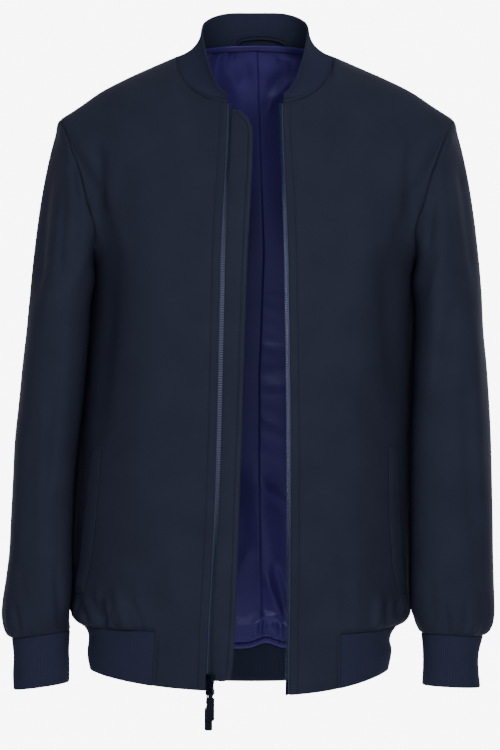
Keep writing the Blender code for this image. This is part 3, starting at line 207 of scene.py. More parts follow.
def fold_height(points, folds=FOLDS):
    """How far folds and creases move each point along its normal."""
    x, y, z = points[..., 0], points[..., 1], points[..., 2]
    total = np.zeros(x.shape)
    for x0, z0, x1, z1, face, width, height in folds:
        along = np.array([x1 - x0, z1 - z0])
        share = ((x - x0) * along[0] + (z - z0) * along[1]) / (along @ along)
        inside = np.clip(share, 0, 1)
        away = np.hypot(x - x0 - inside * along[0], z - z0 - inside * along[1])
        ends = smooth_step(-0.05, 0.25, share) * smooth_step(1.05, 0.75, share)
        total += height * np.exp(-(away / width) ** 2) * ends * smooth_step(0.0, 0.030, np.sign(face) * y)
    return total


print("folds and creases:", len(FOLDS))

# %% [markdown]
# ## Drafting the surfaces
# Each piece of cloth is a net of points. Below the chest a net follows the body's
# sections, and above it a smooth curve carries each column up to its place on the
# neck, shoulder or armhole seam. Neighbours use the same columns along a seam, so
# their edges meet.

# %% Curves
FINE = 8  # columns for each column of the solids


def spline(points, shares):
    """Points of a smooth curve through the given ones, at shares of its length."""
    points = np.asarray(points, float)
    p = np.vstack([2 * points[0] - points[1], points, 2 * points[-1] - points[-2]])
    t = np.linspace(0, 1, 40, endpoint=False)[:, None]
    runs = [0.5 * (2 * b + (c - a) * t + (2 * a - 5 * b + 4 * c - d) * t**2 + (3 * b - a - 3 * c + d) * t**3)
            for a, b, c, d in zip(p, p[1:], p[2:], p[3:])]
    fine = np.vstack(runs + [points[-1:]])
    length = np.concatenate([[0], np.cumsum(np.linalg.norm(np.diff(fine, axis=0), axis=1))])
    return np.stack([np.interp(np.asarray(shares) * length[-1], length, fine[:, k]) for k in range(3)], 1)


def hermite(t, start, start_slope, end, end_slope):
    """From start to end, with a slope at each, as t goes from 0 to 1."""
    return ((2 * t**3 - 3 * t**2 + 1) * start + (t**3 - 2 * t**2 + t) * start_slope
            + (3 * t**2 - 2 * t**3) * end + (t**3 - t**2) * end_slope)


def eased(table, level, column):
    """A table's value at a height, along a smooth curve; the tables run downwards."""
    places, values = -table[:, 0], table[:, column]
    slopes = np.gradient(values, places)
    level = np.clip(-np.asarray(level, float), places[0], places[-1])
    k = np.clip(np.searchsorted(places, level, side="right") - 1, 0, len(places) - 2)
    step = places[k + 1] - places[k]
    t, slopes = (level - places[k]) / step, (step * slopes[k], step * slopes[k + 1])
    return hermite(t, values[k], slopes[0], values[k + 1], slopes[1])


def bridge(start, start_slope, end, end_slope, shares):
    """Curves from start to end, one a row of the inputs, at the given shares."""
    return hermite(np.asarray(shares, float)[:, None, None], start, start_slope, end, end_slope)


def unit(vectors):
    return vectors / np.maximum(np.linalg.norm(vectors, axis=-1, keepdims=True), 1e-12)


print("a spline through the back of the neck:", spline(NECK_BACK, [0, 0.5, 1]).round(3).tolist())

# %% The body's sections
HEM_BULGE, HEM_GATHERS, HEM_GATHER_SIZE = 0.007, 38, 0.0032
CUFF_GATHERS, CUFF_GATHER_SIZE = 13, 0.0044
rng = np.random.default_rng(7)
HEM_TUCK_SHIFT = rng.uniform(-0.45, 0.45, 16)
CUFF_TUCK_SHIFT = rng.uniform(-0.45, 0.45, 16)
HEM_TUCK_SIZE = rng.uniform(0.25, 1.6, 64)
CUFF_TUCK_SIZE = rng.uniform(0.3, 1.5, 64)


def own(side):
    """The column of a table that holds a side's measures."""
    return 1 if side == RIGHT else 2


def section(level, column):
    return eased(BODY_SECTIONS if level >= RIB_SEAM_LEVEL else RIB_SECTIONS, level, column)


def body_width(level, side):
    return section(level, own(side))


def turn_at(level, side, distance):
    """The turn of the section at which the cloth is this far from the middle."""
    return np.arcsin(np.clip(distance / body_width(level, side), 0, 1) ** (1 / BODY_POWER))


def tucks(turn, count, shifts, sizes):
    """An uneven wave round a gathered edge; narrow valleys lie between round humps."""
    place = turn / (2 * math.pi)
    shift = np.interp(place % 1, np.linspace(0, 1, len(shifts) + 1), np.append(shifts, shifts[0]))
    phase = count * place + shift
    size = np.interp(phase % len(sizes), np.arange(len(sizes)), sizes)
    return size * np.abs(np.sin(math.pi * phase)) ** 0.8


def body_row(level, side, turn, face):
    """Points of the body at one height: turn 0 is the middle, half pi the side seam."""
    width, depth = body_width(level, side), section(level, 3 if face < 0 else 4)
    y = face * depth * np.cos(np.clip(turn, 0, math.pi / 2)) ** BODY_POWER
    lean = FLANK_SLANT if face < 0 else eased(BACK_FLANK_SLANT, level, 1)
    slant = lean * y * smooth_step(0.5, 1.0, np.sin(turn)) * smooth_step(RIB_SEAM_LEVEL, -0.64, level)
    x = side * (width * np.sin(turn) ** BODY_POWER + slant)
    side_share = np.sin(turn) ** 2
    lift = SIDE_LIFT_SEAM + (SIDE_LIFT_HEM - SIDE_LIFT_SEAM) * smooth_step(RIB_SEAM_LEVEL, HEM_LEVEL, level)
    drop = BACK_DROP if face > 0 else LEFT_FRONT_DROP * (side == LEFT)
    z = level + smooth_step(-0.56, RIB_SEAM_LEVEL, level) * (side_share * lift - (1 - side_share) * drop)
    return np.stack(np.broadcast_arrays(x, y, z), -1)


def gathered(level, side, turns, face):
    """How the cloth above the rib hem bulges and tucks, as a move outwards."""
    above = level - RIB_SEAM_LEVEL
    full, bulge = 1.0, 0.0
    if face < 0:
        start = turn_at(level, side, eased(NOTCH_LINES, level, own(side)))
        full = smooth_step(start, start + 0.14, turns)
        bulge = HEM_BULGE * math.sin(math.pi * min(above / 0.075, 1))
    round_body = (turns if face < 0 else math.pi - turns) * side
    wave = tucks(round_body, HEM_GATHERS, HEM_TUCK_SHIFT, HEM_TUCK_SIZE)
    reach = min(above / 0.006, 1) * max(0.0, 1 - above / 0.055) ** 1.3
    move = full * (bulge * np.cos(turns) ** 0.5 + HEM_GATHER_SIZE * wave * reach)
    return np.stack([side * np.sin(turns), face * np.cos(turns), 0 * turns], 1) * move[:, None]


print("half widths of the body at the chest:", body_width(-0.275, RIGHT), body_width(-0.275, LEFT))

# %% The upper edges and the two faces of the body
NECK_FRONT_COLUMNS, NECK_BACK_COLUMNS, SHOULDER_COLUMNS, ARMHOLE_COLUMNS, NOTCH_COLUMN = 6, 5, 4, 8, 5
# the columns at the shoulder's tip
FRONT_TIP, BACK_TIP = ((neck + SHOULDER_COLUMNS) * FINE for neck in (NECK_FRONT_COLUMNS, NECK_BACK_COLUMNS))
SOFTENING = 90  # passes that even out the yoke
RIB_LEVELS = np.linspace(HEM_LEVEL, RIB_SEAM_LEVEL, 13)[:-1]
above_seam = np.array([0, 0.0008, 0.0018, 0.003, 0.0045, 0.0065, 0.009, 0.012, 0.0155])
BODY_LEVELS = np.concatenate([RIB_SEAM_LEVEL + above_seam, np.linspace(-0.6645, CHEST_LEVEL, 80)])
YOKE_SHARES = np.concatenate([
    np.linspace(0, 0.955, 39)[1:], [0.960, 0.964, 0.967, 0.9695, 0.972, 0.975, 0.978, 0.981],
    [0.984, 0.987, 0.990, 0.9925, 0.995, 0.9975, 1.0]])


def chain(*lines):
    """Smooth lines one after another, each with its number of columns."""
    runs = [spline(line, np.linspace(0, 1, columns * FINE + 1)) for line, columns in lines]
    return np.vstack([runs[0]] + [run[1:] for run in runs[1:]])


def upper_edge(neck, neck_columns, armhole, side):
    """The upper edge of half a face: along the neck, the shoulder and the armhole."""
    edge = chain((neck, neck_columns), (SHOULDER, SHOULDER_COLUMNS), (armhole, ARMHOLE_COLUMNS))
    near_tip = smooth_step(0.12, 0.23, edge[:, 0]) * smooth_step(-0.24, -0.10, edge[:, 2])
    edge[:, 0] += SHOULDER_SHIFT[side] * near_tip
    return edge * (side, 1, 1)


def arrivals(count, neck_columns, face, side):
    """The direction in which each column arrives at the upper edge."""
    tip = neck_columns + SHOULDER_COLUMNS
    on_armhole = [tip + share * ARMHOLE_COLUMNS for share in (0, 0.25, 0.5, 0.8, 1)]
    stations = FINE * np.array([0, neck_columns] + on_armhole)
    slopes = np.array([(0, 0.32, 0.94) if face < 0 else (0, 0.45, 0.90), (0, 1, 0.10), (0.15, 1, 0.05),
                       (0.50, 0.45, 0.72), (0.55, 0.15, 0.82), (0.40, 0.04, 0.92), (0.10, 0, 0.99)])
    picked = np.stack([np.interp(np.arange(count), stations, slopes[:, k]) for k in range(3)], 1)
    return unit(picked * (side, -face, 1))


def columns_at(level, side, face):
    """The turn of each column of half a face at one height."""
    neck_columns = NECK_FRONT_COLUMNS if face < 0 else NECK_BACK_COLUMNS
    columns = (neck_columns + SHOULDER_COLUMNS + ARMHOLE_COLUMNS) * FINE
    if face > 0:
        return math.pi / 2 * np.linspace(0, 1, columns + 1) ** 1.04
    near, far = (eased(table, level, own(side)) for table in (FRONT_EDGES, NOTCH_LINES))
    plain = turn_at(level, side, np.linspace(near, far, NOTCH_COLUMN * FINE + 1))
    rest = plain[-1] + (math.pi / 2 - plain[-1]) * np.linspace(0, 1, columns - NOTCH_COLUMN * FINE + 1)
    return np.concatenate([plain, rest[1:]])


def half_face(side, face):
    """Points of half a face: rows from the hem up to the neck, columns to the side."""
    rows = []
    for level in np.concatenate([RIB_LEVELS, BODY_LEVELS]):
        turns = columns_at(level, side, face)
        row = body_row(level, side, turns, face)
        rows.append(row + gathered(level, side, turns, face) if level > RIB_SEAM_LEVEL else row)
    neck, neck_columns, armhole = ((NECK_FRONT[::-1], NECK_FRONT_COLUMNS, ARMHOLE_FRONT) if face < 0
                                   else (NECK_BACK, NECK_BACK_COLUMNS, ARMHOLE_BACK))
    edge = upper_edge(neck, neck_columns, armhole, side)
    length = np.linalg.norm(edge - rows[-1], axis=1, keepdims=True)
    arrive = arrivals(len(edge), neck_columns, face, side)
    upper = bridge(rows[-1], np.array([0, 0, 1.0]) * length, edge, arrive * length, YOKE_SHARES)
    net = np.concatenate([np.array(rows), upper])
    place = np.arange(len(net))[1:-1, None, None]
    soft = 0.5 * smooth_step(0, 10, place - len(rows)) * smooth_step(15, 24, len(net) - place)
    for _ in range(SOFTENING):
        mean = (net[2:, 1:-1] + net[:-2, 1:-1] + net[1:-1, 2:] + net[1:-1, :-2]) / 4
        net[1:-1, 1:-1] += soft * (mean - net[1:-1, 1:-1])
    return net


front_points = {side: half_face(side, -1) for side in (RIGHT, LEFT)}
back_halves = {side: half_face(side, 1) for side in (RIGHT, LEFT)}
back_points = np.concatenate([back_halves[RIGHT][:, ::-1], back_halves[LEFT][:, 1:]], axis=1)
print("front nets:", front_points[LEFT].shape, "back net:", back_points.shape)

# %% [markdown]
# ## Sleeves, cuffs and collar
# A sleeve starts on the armhole seam and turns down over the shoulder into a tube.
# The collar is a band of rib knit that leans in and then stands up round the neck.

# %% Sleeves and cuffs
CAP_SHARES = np.append([0, 0.006, 0.014, 0.024, 0.036, 0.05, 0.07], np.linspace(0.10, 1, 30))[:-1]
above_cuff = np.array([0, 0.0008, 0.0018, 0.003, 0.0045, 0.0065, 0.009, 0.012])
SLEEVE_LEVELS = np.append(np.linspace(SLEEVE_TOP_LEVEL, -0.677, 74), CUFF_SEAM_LEVEL + above_cuff[::-1])
CUFF_LEVELS = np.linspace(CUFF_SEAM_LEVEL, -0.753, 13)


def sleeve_row(level, side, turn):
    """Points of a sleeve or cuff: turn 0 faces the body, a quarter turn the front."""
    table = SLEEVE_SECTIONS[side] if level >= CUFF_SEAM_LEVEL else CUFF_SECTIONS[side]
    middle, half, middle_y, half_y = (eased(table, level, k) for k in (1, 2, 3, 4))
    c, s = np.cos(turn), np.sin(turn)
    inward, forward = (np.sign(part) * np.abs(part) ** SLEEVE_POWER for part in (c, s))
    y = middle_y - half_y * forward
    slant = FLANK_SLANT * y * (0.5 + 0.5 * c) * smooth_step(CUFF_SEAM_LEVEL, -0.65, level)
    z = level + CUFF_TILT[side] * inward * smooth_step(-0.60, CUFF_SEAM_LEVEL, level)
    return np.stack(np.broadcast_arrays(side * (middle - half * inward + slant), y, z), -1)


def sleeve_net(side):
    """Rows from the armhole down to the cuff's seam."""
    count = ARMHOLE_COLUMNS * FINE
    front, back = (upper_edge(NECK_FRONT, 1, line, side)[-count - 1:]
                   for line in (ARMHOLE_FRONT, ARMHOLE_BACK))
    loop = np.vstack([front[::-1], back[1:]])
    turns = np.linspace(0, 2 * math.pi, len(loop))
    out = 0.5 - 0.5 * np.cos(turns)
    near = 1 - smooth_step(0, 0.06, out)
    aside = side * (0.42 - 0.08 * out - 0.22 * near)
    leave = unit(np.stack([aside, -0.16 * np.sin(turns), -0.92 - 0.05 * near], 1))
    ring = sleeve_row(SLEEVE_TOP_LEVEL, side, turns)
    length = np.linalg.norm(ring - loop, axis=1, keepdims=True)
    fall = np.array([side * 0.06, 0, -1.0]) * length
    cap = bridge(loop, leave * length * (0.55 + 0.25 * out[:, None]), ring, fall, CAP_SHARES)
    rows = []
    for level in SLEEVE_LEVELS:
        above = level - CUFF_SEAM_LEVEL
        reach = min(above / 0.005, 1) * max(0.0, 1 - above / 0.050) ** 1.3
        wave = tucks(turns, CUFF_GATHERS, CUFF_TUCK_SHIFT * side, CUFF_TUCK_SIZE)
        move = CUFF_GATHER_SIZE * wave * reach * (0.25 + 0.75 * out)
        outward = np.stack([-side * np.cos(turns), -np.sin(turns), 0 * turns], 1)
        rows.append(sleeve_row(level, side, turns) + outward * move[:, None])
    net = np.concatenate([cap, np.array(rows)])
    press = 0.0045 * np.exp(-((net[..., 2] + 0.268) / 0.020) ** 2) * (1 - smooth_step(0, 0.35, out))
    net[..., 0] -= side * press * smooth_step(0, 3, np.arange(len(net)))[:, None]
    return net


cuff_turns = np.linspace(0, 2 * math.pi, 2 * ARMHOLE_COLUMNS * FINE + 1)
sleeve_points = {side: sleeve_net(side) for side in (RIGHT, LEFT)}
cuff_points = {side: np.array([sleeve_row(level, side, cuff_turns) for level in CUFF_LEVELS])
               for side in (RIGHT, LEFT)}
print("sleeve nets:", sleeve_points[LEFT].shape, "cuff nets:", cuff_points[LEFT].shape)

# %% Collar
COLLAR_SHARES = np.concatenate([[0, 0.012, 0.03, 0.055], np.linspace(0.09, 1, 15)])


def collar_net():
    """Rows from the neck seam to the top edge, from one front end to the other."""
    low, high = [], []
    for side in (RIGHT, LEFT):
        for rows, back, front in ((low, NECK_BACK, NECK_FRONT), (high, COLLAR_TOP_BACK, COLLAR_TOP_FRONT)):
            rows.append(chain((back, NECK_BACK_COLUMNS), (front, NECK_FRONT_COLUMNS)) * (side, 1, 1))
    low, high = (np.vstack([rows[0][::-1], rows[1][1:]]) for rows in (low, high))
    height = np.linalg.norm(high - low, axis=1, keepdims=True)
    inward = (high - low) * (1, 1, 0)
    return bridge(low, inward * 1.9 + np.array([0, 0, 0.35]) * height,
                  high, inward * 0.1 + np.array([0, 0, 1.15]) * height, COLLAR_SHARES)


collar_points = collar_net()
print("collar net:", collar_points.shape)

# %% [markdown]
# ## Normals that agree at the seams
# Folds push the cloth out along its normals. Where two pieces meet, both use the
# mean of their normals there, so a fold that crosses a seam doesn't tear it open.

# %% Normals and folds
def net_normals(points, outward):
    normal = np.cross(np.gradient(points, axis=0), np.gradient(points, axis=1)) * outward
    if np.allclose(points[:, 0], points[:, -1], atol=1e-7):
        normal[:, 0] = normal[:, -1] = (normal[:, 0] + normal[:, -1]) / 2
    return unit(normal)


def with_normals(nets):
    """{name: (points, outward sign)} to {name: (points, normals)}, shared at seams."""
    pieces = {name: (points, net_normals(points, sign)) for name, (points, sign) in nets.items()}
    points = np.concatenate([p.reshape(-1, 3) for p, _ in pieces.values()])
    normals = np.concatenate([n.reshape(-1, 3) for _, n in pieces.values()])
    _, place = np.unique(np.round(points, 5), axis=0, return_inverse=True)
    sums = np.zeros((place.max() + 1, 3))
    np.add.at(sums, place.ravel(), normals)
    shared, start = unit(sums)[place.ravel()], 0
    for name, (p, n) in pieces.items():
        pieces[name] = p, shared[start:start + n.size // 3].reshape(n.shape)
        start += n.size // 3
    return pieces


nets = {"front_right": (front_points[RIGHT], 1), "front_left": (front_points[LEFT], -1),
        "back": (back_points, 1), "sleeve_right": (sleeve_points[RIGHT], RIGHT),
        "sleeve_left": (sleeve_points[LEFT], LEFT), "cuff_right": (cuff_points[RIGHT], RIGHT),
        "cuff_left": (cuff_points[LEFT], LEFT), "collar": (collar_points, 1)}
folded = {name: (p + n * fold_height(p)[..., None], nets[name][1])
          for name, (p, n) in with_normals(nets).items()}
cloth = with_normals(folded)
print("points in all nets:", sum(p.size // 3 for p, _ in cloth.values()))

# %% [markdown]
# ## From a net to a piece of cloth
# A net becomes cloth when it gets an inner face and a rounded rim. Rows and columns
# are first spaced again where a piece needs it, and each point remembers how far it
# lies from the edges, in metres, because seams, stitches and ribs are set out from
# there. The same distances are the UV map, so a weave keeps its true size.

# %% Distances and shells
def lengths(points, axis):
    """How far each point lies along its row (axis 1) or column (axis 0)."""
    step = np.linalg.norm(np.diff(points, axis=axis), axis=-1)
    start = np.zeros_like(np.take(points[..., 0], [0], axis))
    return np.concatenate([start, np.cumsum(step, axis=axis)], axis=axis)


def read_at(run, places, vectors):
    """Vectors along a line, between those given at the line's distances."""
    return np.stack([np.interp(places, run, vectors[:, k]) for k in range(3)], -1)


def respaced(points, normals, shares):
    """The same net with its columns at other shares of each row's length."""
    run = lengths(points, 1)
    at = [np.interp(np.asarray(shares) * r[-1], r, np.arange(len(r))) for r in run]
    low = [np.minimum(a.astype(int), len(r) - 2) for a, r in zip(at, run)]
    mix = [(a - k)[:, None] for a, k in zip(at, low)]
    both = [np.array([row[k] * (1 - m) + row[k + 1] * m for row, k, m in zip(net, low, mix)])
            for net in (points, normals)]
    return both[0], unit(both[1])


def place_at(points, normals, row, distance, from_end=False):
    """The point and normal of a row at a distance from its first or last point."""
    p, n = (points[row][::-1], normals[row][::-1]) if from_end else (points[row], normals[row])
    run = lengths(p[None], 1)[0]
    return read_at(run, distance, p), unit(read_at(run, distance, n))


def cloth_piece(name, outer, inner, slot, finish, uv=None, keep=None, rim=0.0):
    """A closed shell between two nets, in place of the solid of the same name.

    keep says which cells of the net it has, and rim how far its rim bulges."""
    rows, columns = outer.shape[:2]
    count = rows * columns
    raw = np.arange(count).reshape(rows, columns)
    merged = raw.copy()
    if np.allclose(outer[:, 0], outer[:, -1], atol=1e-7):
        merged[:, -1] = merged[:, 0]
    cells = [np.stack([g[:-1, :-1], g[:-1, 1:], g[1:, 1:], g[1:, :-1]], -1).reshape(-1, 4)
             for g in (raw, merged)]
    if keep is not None:
        cells = [c[keep.ravel()] for c in cells]
    corners, quads = cells
    points = np.concatenate([outer.reshape(-1, 3), inner.reshape(-1, 3)])
    edges = np.concatenate([quads[:, [k, (k + 1) % 4]] for k in range(4)])
    owner = np.tile(np.arange(len(quads)), 4)
    free = ~np.isin(edges[:, 0] * count + edges[:, 1], edges[:, 1] * count + edges[:, 0])
    border, owner = edges[free], owner[free]
    p = points[quads[owner]]
    facing = unit(np.cross(p[:, 2] - p[:, 0], p[:, 3] - p[:, 1]))
    away = np.zeros((count, 3))
    for end in (0, 1):
        np.add.at(away, border[:, end], unit(np.cross(points[border[:, 1]] - points[border[:, 0]], facing)))
    on_rim = np.unique(border)
    rim_at = np.zeros(count, int)
    rim_at[on_rim] = 2 * count + np.arange(len(on_rim))
    middle = (points[on_rim] + points[on_rim + count]) / 2 + unit(away[on_rim]) * rim
    points = np.concatenate([points, middle])
    a, b = border[:, 0], border[:, 1]
    faces = np.concatenate([quads, quads[:, ::-1] + count, np.stack([b, a, rim_at[a], rim_at[b]], 1),
                            np.stack([rim_at[b], rim_at[a], a + count, b + count], 1)])
    q = points[faces]
    volume = sum((np.cross(q[:, k] - q[:, 0], q[:, k + 1] - q[:, 0]) * q[:, 0]).sum() for k in (1, 2))
    flipped = volume < 0
    if flipped:
        faces = faces[:, ::-1]
    used = np.unique(faces)
    renumber = np.zeros(len(points), int)
    renumber[used] = np.arange(len(used))
    mesh = bpy.data.meshes.new(name)
    mesh.from_pydata(points[used].tolist(), [], renumber[faces].tolist())
    if uv is None:
        uv = np.stack([lengths(outer, 1), lengths(outer, 0)], -1)
    flat = uv.reshape(-1, 2)
    loops = np.concatenate([corners, corners[:, ::-1]] + 2 * [np.stack([b, a, a, b], 1)])
    if flipped:
        loops = loops[:, ::-1]
    mesh.uv_layers.new(name="cloth").data.foreach_set("uv", flat[loops].ravel())
    mesh.shade_smooth()
    area = sum(f.area for f in mesh.polygons) / 2
    print(name, "triangles:", 2 * len(faces), "cloth area: %.3f m2" % area)
    piece = placed(name, mesh)
    mesh.materials.append(finish)
    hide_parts(name)
    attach(piece, "jacket")
    return piece


def dent(distance, depth, reach):
    """A soft groove along a line, as a move inwards at each distance from it."""
    return -depth * np.exp(-(np.asarray(distance) / reach) ** 2)


# %% [markdown]
# ## Finishes
# The outer cloth is a matt twill, with close diagonal ribs too fine to count from a
# step away. The rib knit is a little bluer, and the lining is satin with a soft sheen.
# Each finish is a small tree of nodes that reads the UV map in metres.

# %% Building materials
class Finish:
    """A material with a few helpers to add and join nodes."""

    def __init__(self, name, colour, roughness, **sockets):
        self.material = bpy.data.materials.new(name)
        self.material.use_nodes = True
        self.tree = self.material.node_tree
        self.shader = self.tree.nodes["Principled BSDF"]
        self.set(self.shader, {"Base Color": (*colour, 1), "Roughness": roughness, **sockets})

    def set(self, node, values):
        """Links or sets the node's inputs; the keys are their names or numbers."""
        for socket, value in values.items():
            if isinstance(value, bpy.types.NodeSocket):
                self.tree.links.new(value, node.inputs[socket])
            else:
                node.inputs[socket].default_value = value
        return node

    def add(self, kind, settings=None, **values):
        node = self.tree.nodes.new(kind)
        for key, value in (settings or {}).items():
            setattr(node, key, value)
        return self.set(node, values)

    def uv(self, scale=(1, 1, 1), turn=0.0):
        flat = self.add("ShaderNodeUVMap", {"uv_map": "cloth"}).outputs["UV"]
        return self.add("ShaderNodeMapping", Vector=flat, Scale=scale, Rotation=(0, 0, turn)).outputs[0]

    def place(self):
        return self.add("ShaderNodeTexCoord").outputs["Object"]

    def noise(self, vector, scale, detail=3.0):
        return self.add("ShaderNodeTexNoise", Vector=vector, Scale=scale, Detail=detail).outputs["Fac"]

    def bands(self, vector, scale, direction="X"):
        """A wave that repeats scale times a metre, from 0 to 1."""
        settings = {"wave_type": "BANDS", "bands_direction": direction, "wave_profile": "SIN"}
        wave = self.add("ShaderNodeTexWave", settings, Vector=vector, Scale=scale * math.pi / 10)
        return wave.outputs["Fac"]

    def ramp(self, value, low, high, at=(0.0, 1.0)):
        node = self.add("ShaderNodeValToRGB", Fac=value)
        for element, place, colour in zip(node.color_ramp.elements, at, (low, high)):
            element.position = place
            element.color = (*colour, 1)
        return node.outputs["Color"]

    def maths(self, operation, a, b):
        return self.set(self.add("ShaderNodeMath", {"operation": operation}), {0: a, 1: b}).outputs[0]

    def colour(self, output):
        self.set(self.shader, {"Base Color": output})
        return self

    def mottled(self, scale, low, high, at=(0.3, 0.7), detail=3.0):
        """Soft patches between two colours."""
        return self.colour(self.ramp(self.noise(self.place(), scale, detail), low, high, at))

    def grain(self, scale, distance, strength):
        """A fine uneven surface."""
        return self.bump(self.noise(self.place(), scale), distance, strength)

    def bump(self, height, distance, strength):
        node = self.add("ShaderNodeBump", Height=height, Distance=distance, Strength=strength)
        self.set(self.shader, {"Normal": node.outputs["Normal"]})
        return self


def shade(colour, factor):
    return tuple(c * factor for c in colour)


print("helpers of a finish:", len([n for n in dir(Finish) if not n.startswith("_")]))

# %% The cloth finishes
TWILL, RIB, SATIN = (0.0186, 0.0211, 0.0372), (0.0190, 0.0222, 0.0445), (0.0290, 0.0220, 0.1150)
TAPE, METAL, RUBBER = (0.0300, 0.0480, 0.1000), (0.008, 0.010, 0.016), (0.0046, 0.0066, 0.0150)
MATT = {"Specular IOR Level": 0.03}
WEAVE, WEAVE_TURN = 1150.0, math.radians(58)  # ribs a metre, and how they lean


def twill_finish(name, colour):
    f = Finish(name, colour, 0.90, **MATT)
    f.mottled(26.0, shade(colour, 0.92), shade(colour, 1.08), detail=5.0)
    weave = f.bands(f.uv(turn=WEAVE_TURN), WEAVE)
    yarn = f.noise(f.uv(), 900.0, 2.0)
    return f.bump(f.maths("ADD", weave, yarn), 0.00010, 0.35).material


def rib_finish(name, colour):
    f = Finish(name, colour, 0.92, **MATT)
    ribs = f.bands(f.uv(), 435.0)
    # Painted shade: each rib's valleys are coloured darker and its crests lighter, on top of the real ridges.
    f.colour(f.ramp(ribs, shade(colour, 0.86), shade(colour, 1.08), (0.15, 0.8)))
    loops = f.maths("MULTIPLY", f.bands(f.uv(), 900.0, "Y"), 0.5)
    return f.bump(f.maths("ADD", loops, f.noise(f.uv(), 1300.0, 2.0)), 0.00022, 0.4).material


def satin_finish(name, colour):
    gloss = {"Specular IOR Level": 0.34, "Specular Tint": (0.50, 0.50, 1.0, 1.0)}
    f = Finish(name, colour, 0.32, **gloss)
    f.mottled(9.0, shade(colour, 0.93), shade(colour, 1.07), detail=2.0)
    return f.bump(f.noise(f.uv((1, 0.25, 1)), 1400.0, 2.0), 0.00006, 0.3).material


twill = twill_finish("navy_twill", TWILL)
# Painted light: the underlap is a lighter copy of the same twill, making up for the shade it lies in behind
# the zip.
underlap_twill_painted_light = twill_finish("underlap_twill_painted_light", shade(TWILL, 1.05))
rib_knit = rib_finish("rib_knit", RIB)
satin = satin_finish("satin_lining", SATIN)
print("finishes:", twill.name, rib_knit.name, satin.name)

# %% [markdown]
# ## The fronts and the back
# A jacket's seams are pressed open and sink a little, and a row of topstitching a few
# millimetres away pulls the cloth down again and puckers it. The dents are moved into
# the net itself, at true distances from the edges. The stitches lie in them later.

# %% Wall thickness and pucker
TWILL_THICK, RIB_THICK, SATIN_THICK = 0.0015, 0.0026, 0.0008
TWILL_RIM, RIB_RIM = 0.0006, 0.0011  # how far a rim bulges past its edge
NECK_STITCH, EDGE_STITCH, ARMHOLE_STITCH, RIB_STITCH, NOTCH_STITCH = 0.0065, 0.0095, 0.005, 0.005, 0.005
ARMHOLE_STITCH_END = -0.172  # the height at which the armhole's stitching stops
# depth and reach of the grooves under a row of stitches and along each kind of seam
STITCHED, SIDE_SEAM, RIB_SEAM = (0.0011, 0.0010), (0.0012, 0.0016), (0.0020, 0.0016)
NOTCH_SEAM, ROUND_CORNER = (0.0012, 0.0014), (0.0003, 0.0011)
hem_row = len(RIB_LEVELS)
notch_column = NOTCH_COLUMN * FINE


def ripple(along, distance, size, reach, seed):
    """Small puckers that die away from a seam."""
    wave = np.random.default_rng(seed).uniform(0, 2 * math.pi, 3)
    total = sum(np.sin(2 * math.pi * along / length + phase)
                for length, phase in zip((0.0085, 0.0131, 0.0217), wave))
    return size / 3 * total * np.exp(-(distance / reach) ** 2)


def upper_seam(from_top, on_armhole):
    """The groove along the neck, the shoulder and, deeper, the armhole."""
    return dent(from_top, 0.0014 + 0.0008 * on_armhole, 0.0014)


def twill_piece(name, points, normals, move, **more):
    """A piece of the outer cloth, with its outer face moved outwards."""
    outer, inner = points + normals * move[..., None], points - normals * TWILL_THICK
    return outer, cloth_piece(name, outer, inner, "twill", twill, rim=TWILL_RIM, **more)


def front_piece(name):
    points, normals = cloth[name]
    across, up = lengths(points, 1), lengths(points, 0)
    from_side, from_top = across[:, -1:] - across, up[-1:] - up
    above_rib = up - up[hem_row]
    columns = np.arange(points.shape[1])
    rows = np.arange(points.shape[0])[:, None]
    above = rows >= hem_row
    past_notch = columns >= notch_column
    to_notch = np.where(above, 1.0, across[:, notch_column:notch_column + 1] - across)
    on_neck, on_armhole = columns < NECK_FRONT_COLUMNS * FINE, columns >= FRONT_TIP
    move = upper_seam(from_top, on_armhole) + dent(from_side, *SIDE_SEAM) * above
    move += dent(from_top - NECK_STITCH, *STITCHED) * on_neck + dent(across - EDGE_STITCH, *STITCHED)
    high = on_armhole & (points[-1, :, 2] > ARMHOLE_STITCH_END)
    move += dent(from_top - ARMHOLE_STITCH, *STITCHED) * high
    move += (dent(above_rib, *RIB_SEAM) + dent(above_rib - RIB_STITCH, *STITCHED)) * (past_notch & above)
    move += dent(to_notch, *NOTCH_SEAM) + dent(to_notch - NOTCH_STITCH, *STITCHED) * ~above
    notch = across[hem_row:hem_row + 1, notch_column:notch_column + 1]
    corner = np.hypot(np.maximum(notch - across, 0), above_rib)
    move += dent(corner - RIB_STITCH, *ROUND_CORNER) * (above & ~past_notch)
    move += ripple(up, across - EDGE_STITCH, 0.00035, 0.006, 3) * smooth_step(0, 0.02, from_top)
    move += ripple(across, from_top - NECK_STITCH, 0.0003, 0.006, 5) * on_neck
    keep = (rows[:-1] >= hem_row) | (columns[:-1] < notch_column)
    return twill_piece(name, points, normals, move, keep=keep)


outer_faces = {}
for name in ("front_right", "front_left"):
    outer_faces[name], piece = front_piece(name)

